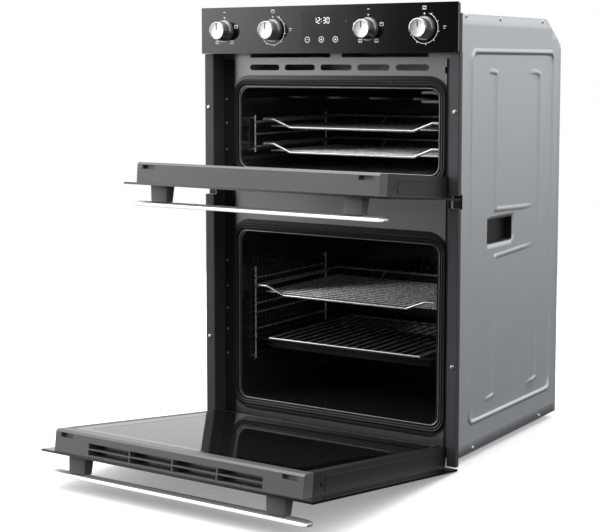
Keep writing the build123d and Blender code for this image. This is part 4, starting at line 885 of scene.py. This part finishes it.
class OVEN_OT_handles(bpy.types.Operator):
    """Makes both handles: flat bars with rounded edges on tapering posts"""

    bl_idname = "oven.handles"
    bl_label = "Handles"

    def execute(self, context):
        """A bar is an outline with rounded ends, drawn in at its face and sloped at its back; its faces that look
        along the door get a painted highlight, a near-white finish that glows. A post is a rounded rectangle that
        narrows evenly from the door to the bar."""
        for door, facts in DOORS.items():
            height = facts["height"]
            rings = bar_rings(BAR_HALF_LENGTH * MM, BAR_HALF_HEIGHT * MM, BAR_END_RADIUS * MM)
            rings[..., 1] += -BAR_STAND_OFF * MM
            rings[..., 2] += height - BAR_BELOW_TOP * MM
            bar = Shell()
            bar.add_rings(door_place(door, rings))
            piece = bar.piece(f"{door}_bar", "handle_chrome", f"{door}_door",
                              replaces=(f"{door}_handle_bar",), smooth_angle=35.0)
            # The faces that look along the door take a second finish that glows: a painted highlight along the
            # bar's edge.
            piece.data.materials.append(finish_of("bright_edge"))
            away = np.array([face.normal[:] for face in piece.data.polygons])
            joint = JOINTS[f"{door}_door_hinge"]
            angle = math.radians(-joint["range_deg"][0])
            height_way = np.array((0.0, -math.sin(angle), math.cos(angle)))
            painted_highlight_faces = away @ height_way > PAINTED_HIGHLIGHT_FACING
            piece.data.polygons.foreach_set("material_index", painted_highlight_faces.astype(np.int32))
            posts = Shell()
            for x in POST_PLACES:
                share = np.linspace(0.0, 1.0, 9)
                post = []
                for s in share:
                    outline = rounded_rectangle((41 - 3.2 * s) * MM, (24 - 3.0 * s) * MM, 2.0 * MM, 4)
                    post.append(np.stack([outline[:, 0] + x * MM, np.full(len(outline), -31 * MM * s),
                                          outline[:, 1] + height - BAR_BELOW_TOP * MM], -1))
                posts.add_rings(door_place(door, np.array(post)))
            posts.piece(f"{door}_posts", "post_grey", f"{door}_door",
                        replaces=(f"{door}_handle_posts",), smooth_angle=30.0)
        return {"FINISHED"}


class OVEN_OT_door_details(bpy.types.Operator):
    """Makes the raised ledges of the doors' sides, a flat black slab of painted shade where each side's slot opens,
    and the printed borders of the inner glasses
    """

    bl_idname = "oven.door_details"
    bl_label = "Door Details"

    def execute(self, context):
        """Side details are thin slabs on the door's sides; a border is a flat ring just above the inner glass."""
        for door, facts in DOORS.items():
            height = facts["height"] / MM
            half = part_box(f"{door}_door_frame")[1][0] / MM
            for side, name in ((-1, "left"), (1, "right")):
                ledges = Shell()
                top = height - SIDE_LEDGE_DROP
                for d0, d1, h0, h1 in ((33.0, 35.0, 24.0, top), (9.0, 11.0, 24.0, top), (9.0, 35.0, 22.0, 24.0),
                                       (9.0, 35.0, top - 2.0, top)):
                    block = rounded_rectangle(d1 - d0, h1 - h0, 0.6, 2, ((d0 + d1) / 2, (h0 + h1) / 2))
                    steps = ((half - 0.4, block), (half + 0.7, block), (half + 0.9, shrink(block, 0.2)))
                    rings = [side_ring(b, side * x) for x, b in steps]
                    ledges.add_rings(door_place(door, mm_points(np.array(rings))))
                ledges.piece(f"{door}_{name}_side_ledges", "door_frame_grey", f"{door}_door")
                # The slot is not cut: a flat glossy black slab lies where it opens, painted shade standing in for
                # its dark inside.
                outline = rounded_rectangle(8.0, 5.0, 2.4, 5, (21.0, height - 62.0))
                rings = [side_ring(outline, side * x) for x in (half - 0.5, half + 0.15)]
                painted_slot_shade = Shell()
                painted_slot_shade.add_rings(door_place(door, mm_points(np.array(rings))))
                painted_slot_shade.piece(f"{door}_{name}_side_slot", "display_plastic", f"{door}_door")
            low, high = 15.0, height - 36.6
            wide = 2 * INNER_GLASS_HALF_WIDTH
            outer = rounded_rectangle(wide, high - low, 3.0, 4, (0.0, (high + low) / 2))
            inner = rounded_rectangle(wide - 44.0, high - low - 36.0, 14.0, 4, (0.0, (high + low) / 2))
            loops = [front_ring(o, d) for o, d in ((outer, 44.05), (outer, 44.15), (inner, 44.15), (inner, 44.05))]
            border = Shell()
            border.add_rings(door_place(door, mm_points(np.array(loops))), closed_rows=True)
            border.piece(f"{door}_glass_border", "printed_black", f"{door}_door")
        return {"FINISHED"}


# ------------------------------------------------------------------ control panel
KNOBS = ("grill_selector", "grill_thermostat", "oven_selector", "oven_thermostat")


def turned_rings(x, z, profile):
    """Rings about a knob's axis, one for each (radius, distance from the glass, wave) of the profile: the radius at
    an angle is radius + wave * cos(flutes * angle)."""
    turn = np.linspace(0, 2 * math.pi, KNOB_STEPS, endpoint=False)
    rings = []
    for radius, out, wave in profile:
        r = radius + wave * np.cos(KNOB_FLUTES * turn)
        rings.append(np.stack([x / MM + r * np.cos(turn), np.full(KNOB_STEPS, GLASS_FACE / MM - out),
                               z / MM + r * np.sin(turn)], -1))
    return mm_points(np.array(rings))


class OVEN_OT_knobs(bpy.types.Operator):
    """Makes the four knobs: dark fluted skirt, bright cap and pointer, on a dark ring"""

    bl_idname = "oven.knobs"
    bl_label = "Knobs"

    def execute(self, context):
        """The skirt and the cap are turned, and the pointer is a slab on the cap."""
        for knob in KNOBS:
            x, _, z = JOINTS[f"{knob}_turn"]["pos_m"]
            for part, slot, profile in (("skirt", "bezel_chrome", KNOB_SKIRT), ("cap", "knob_steel", KNOB_CAP)):
                skin = Shell()
                skin.add_rings(turned_rings(x, z, profile))
                skin.piece(f"{knob}_{part}", slot, knob, replaces=(f"{knob}_knob",), smooth_angle=35.0)
            outline = rounded_rectangle(2.0 * MM, 13.0 * MM, 0.9 * MM, 4, (x, z + 8.5 * MM))
            pointer = Shell()
            pointer.add_rings(slab_rings(outline, GLASS_FACE - 28.8 * MM, GLASS_FACE - 28.2 * MM, 0.1 * MM))
            pointer.piece(f"{knob}_pointer", "display_plastic", knob)
        return {"FINISHED"}


def stroke_rings(points, width):
    """A flat line of ink along a path of (x, level): both its sides half a width away, just off the glass."""
    points = np.asarray(points, float)
    way = np.gradient(points, axis=0)
    way /= np.maximum(np.linalg.norm(way, axis=1, keepdims=True), 1e-9)
    side = np.stack([-way[:, 1], way[:, 0]], -1) * width / 2
    near, far = GLASS_FACE / MM - MARK_NEAR, GLASS_FACE / MM - MARK_FAR
    rings = [np.stack([(points + s * side)[:, 0], np.full(len(points), y), (points + s * side)[:, 1]], -1)
             for s, y in ((-1, far), (-1, near), (1, near), (1, far))]
    return mm_points(np.array(rings).transpose(1, 0, 2))


class OVEN_OT_panel_marks(bpy.types.Operator):
    """Prints the dials' marks and the clock on the control panel"""

    bl_idname = "oven.panel_marks"
    bl_label = "Panel Marks"

    def execute(self, context):
        """Marks are flat strokes along arcs, lines and small squares round each knob. Each digit of the clock is
        made of some of seven straight strokes."""
        ink = Shell()

        def line(*points, width=0.9):
            ink.add_rings(stroke_rings(points, width))

        def arc(cx, cz, radius, start, end, width=0.9, steps=20):
            turn = np.radians(np.linspace(start, end, steps))
            line(*np.stack([cx + radius * np.sin(turn), cz + radius * np.cos(turn)], -1), width=width)

        def dot(cx, cz, radius=1.5):
            turn = np.linspace(0, 2 * math.pi, 16, endpoint=False)
            outline = np.stack([cx + radius * np.cos(turn), cz + radius * np.sin(turn)], -1) * MM
            ink.add_rings(np.array([front_ring(outline, GLASS_FACE - d * MM) for d in (MARK_NEAR, MARK_FAR)]))

        def function_sign(cx, cz, kind):
            frame_path = np.array([(-3.6, -3.0), (3.6, -3.0), (3.6, 3.0), (-3.6, 3.0), (-3.6, -3.0)])
            for first, second in zip(frame_path[:-1], frame_path[1:]):
                line(first + (cx, cz), second + (cx, cz), width=0.7)
            if kind in (1, 3):
                line((cx - 2.2, cz + 1.7), (cx + 2.2, cz + 1.7), width=0.8)
            if kind in (2, 3):
                line((cx - 2.2, cz - 1.7), (cx + 2.2, cz - 1.7), width=0.8)
            if kind == 4:
                line((cx - 1.6, cz - 1.6), (cx + 1.6, cz + 1.6), width=0.8)
                line((cx - 1.6, cz + 1.6), (cx + 1.6, cz - 1.6), width=0.8)

        for number, knob in enumerate(KNOBS):
            x, _, z = [value / MM for value in JOINTS[f"{knob}_turn"]["pos_m"]]
            dot(x, z + 27.0)
            if number % 2 == 0:
                line((x - 2.6, z + 38.0), (x + 2.6, z + 38.0), width=1.1)
                for kind, turn in enumerate((72, 144, 216, 288), 1):
                    angle = math.radians(turn)
                    function_sign(x + 31.0 * math.sin(angle), z + 28.0 * math.cos(angle), kind)
            else:
                function_sign(x, z + 38.0, 1 if number == 1 else 3)
                arc(x, z, 29.0, 20, 250, width=0.8, steps=40)
                for step in range(7):
                    angle = math.radians(30 + step * 36)
                    line(*[(x + r * math.sin(angle), z + r * math.cos(angle)) for r in TICK_RADII], width=1.0)
                line((x + 40.0, z + 3.0), (x + 46.0, z + 3.0), width=1.0)
                line((x + 40.0, z - 1.0), (x + 44.0, z - 1.0), width=1.0)
        for key in TOUCH_KEYS:
            centre = (key, PANEL_HIGH[2] / MM - 67.3)
            arc(*centre, 5.4, 0, 360, width=1.1, steps=32)
            line((centre[0] - 2.4, centre[1]), (centre[0] + 2.4, centre[1]), width=1.1)
            if key > -20:
                line((centre[0], centre[1] - 2.4), (centre[0], centre[1] + 2.4), width=1.1)
        # The ink's finish glows: painted brightness over the printed white marks.
        ink.piece("panel_print", "white_ink", "case", smooth_angle=30.0)

        shade = Shell()
        top = PANEL_HIGH[2] / MM
        touch = rounded_rectangle(89.0, 69.0, 1.5, 4, (-5.5, top - 46.5)) * MM
        shade.add_rings(np.array([front_ring(touch, GLASS_FACE - d * MM) for d in (0.05, 0.01)]))
        shade.piece("touch_field", "touch_black", "case")
        screen = Shell()
        view = rounded_rectangle(76.0, 31.5, 1.0, 4, (-4.0, top - 29.8)) * MM
        screen.add_rings(np.array([front_ring(view, GLASS_FACE - d * MM) for d in (0.09, 0.03)]))
        screen.piece("clock_window", "display_plastic", "case")

        digits = Shell()
        strokes = {"a": ((0, 2), (1, 2)), "b": ((1, 2), (1, 1)), "c": ((1, 1), (1, 0)), "d": ((0, 0), (1, 0)),
                   "e": ((0, 1), (0, 0)), "f": ((0, 2), (0, 1)), "g": ((0, 1), (1, 1))}
        shapes = {"1": "bc", "2": "abged", "3": "abgcd", "0": "abcdef"}
        for place, sign in zip((-20.0, -11.5, 1.5, 10.0), "1230"):
            for key in shapes[sign]:
                (x0, z0), (x1, z1) = strokes[key]
                start = np.array((place + DIGIT_WIDTH * x0, top - 35.5 + DIGIT_HALF_HEIGHT * z0))
                end = np.array((place + DIGIT_WIDTH * x1, top - 35.5 + DIGIT_HALF_HEIGHT * z1))
                inset = (end - start) * 0.12
                digits.add_rings(stroke_rings((start + inset, end - inset), 1.1) - (0, 0.06 * MM, 0))
        for level in (top - 32.4, top - 27.8):
            digits.add_rings(stroke_rings(((-3.0, level), (-1.8, level)), 1.2) - (0, 0.06 * MM, 0))
        digits.piece("clock_digits", "lit_digits", "case", smooth_angle=30.0)
        return {"FINISHED"}


# ------------------------------------------------------------------ panel, registration and the run
PIECES = (
    OVEN_OT_finishes,
    OVEN_OT_side_panels,
    OVEN_OT_uprights,
    OVEN_OT_case_screws,
    OVEN_OT_seals,
    OVEN_OT_cavity_details,
    OVEN_OT_handles,
    OVEN_OT_door_details,
    OVEN_OT_knobs,
    OVEN_OT_panel_marks,
)
PARTS = PIECES + (OVEN_OT_studio,)


class OVEN_PT_panel(bpy.types.Panel):
    """Lists the oven's operators"""

    bl_idname = "OVEN_PT_panel"
    bl_label = "Built-in Double Oven"
    bl_space_type = "VIEW_3D"
    bl_region_type = "UI"
    bl_category = "Oven"

    def draw(self, context):
        for part in PARTS:
            self.layout.operator(part.bl_idname)


CLASSES = (OvenLooks, StudioSettings) + PARTS + (OVEN_PT_panel,)


def register():
    """Registers the classes and hangs the settings on the scene."""
    for cls in CLASSES:
        bpy.utils.register_class(cls)
    bpy.types.Scene.oven_looks = bpy.props.PointerProperty(type=OvenLooks)
    bpy.types.Scene.oven_studio = bpy.props.PointerProperty(type=StudioSettings)


def unregister():
    """Takes the settings off the scene and unregisters the classes."""
    del bpy.types.Scene.oven_studio
    del bpy.types.Scene.oven_looks
    for cls in reversed(CLASSES):
        bpy.utils.unregister_class(cls)


def main():
    """Registers the classes and makes every piece in order."""
    register()
    for part in PARTS:
        group, name = part.bl_idname.split(".")
        getattr(getattr(bpy.ops, group), name)()


if __name__ == "__main__":
    main()
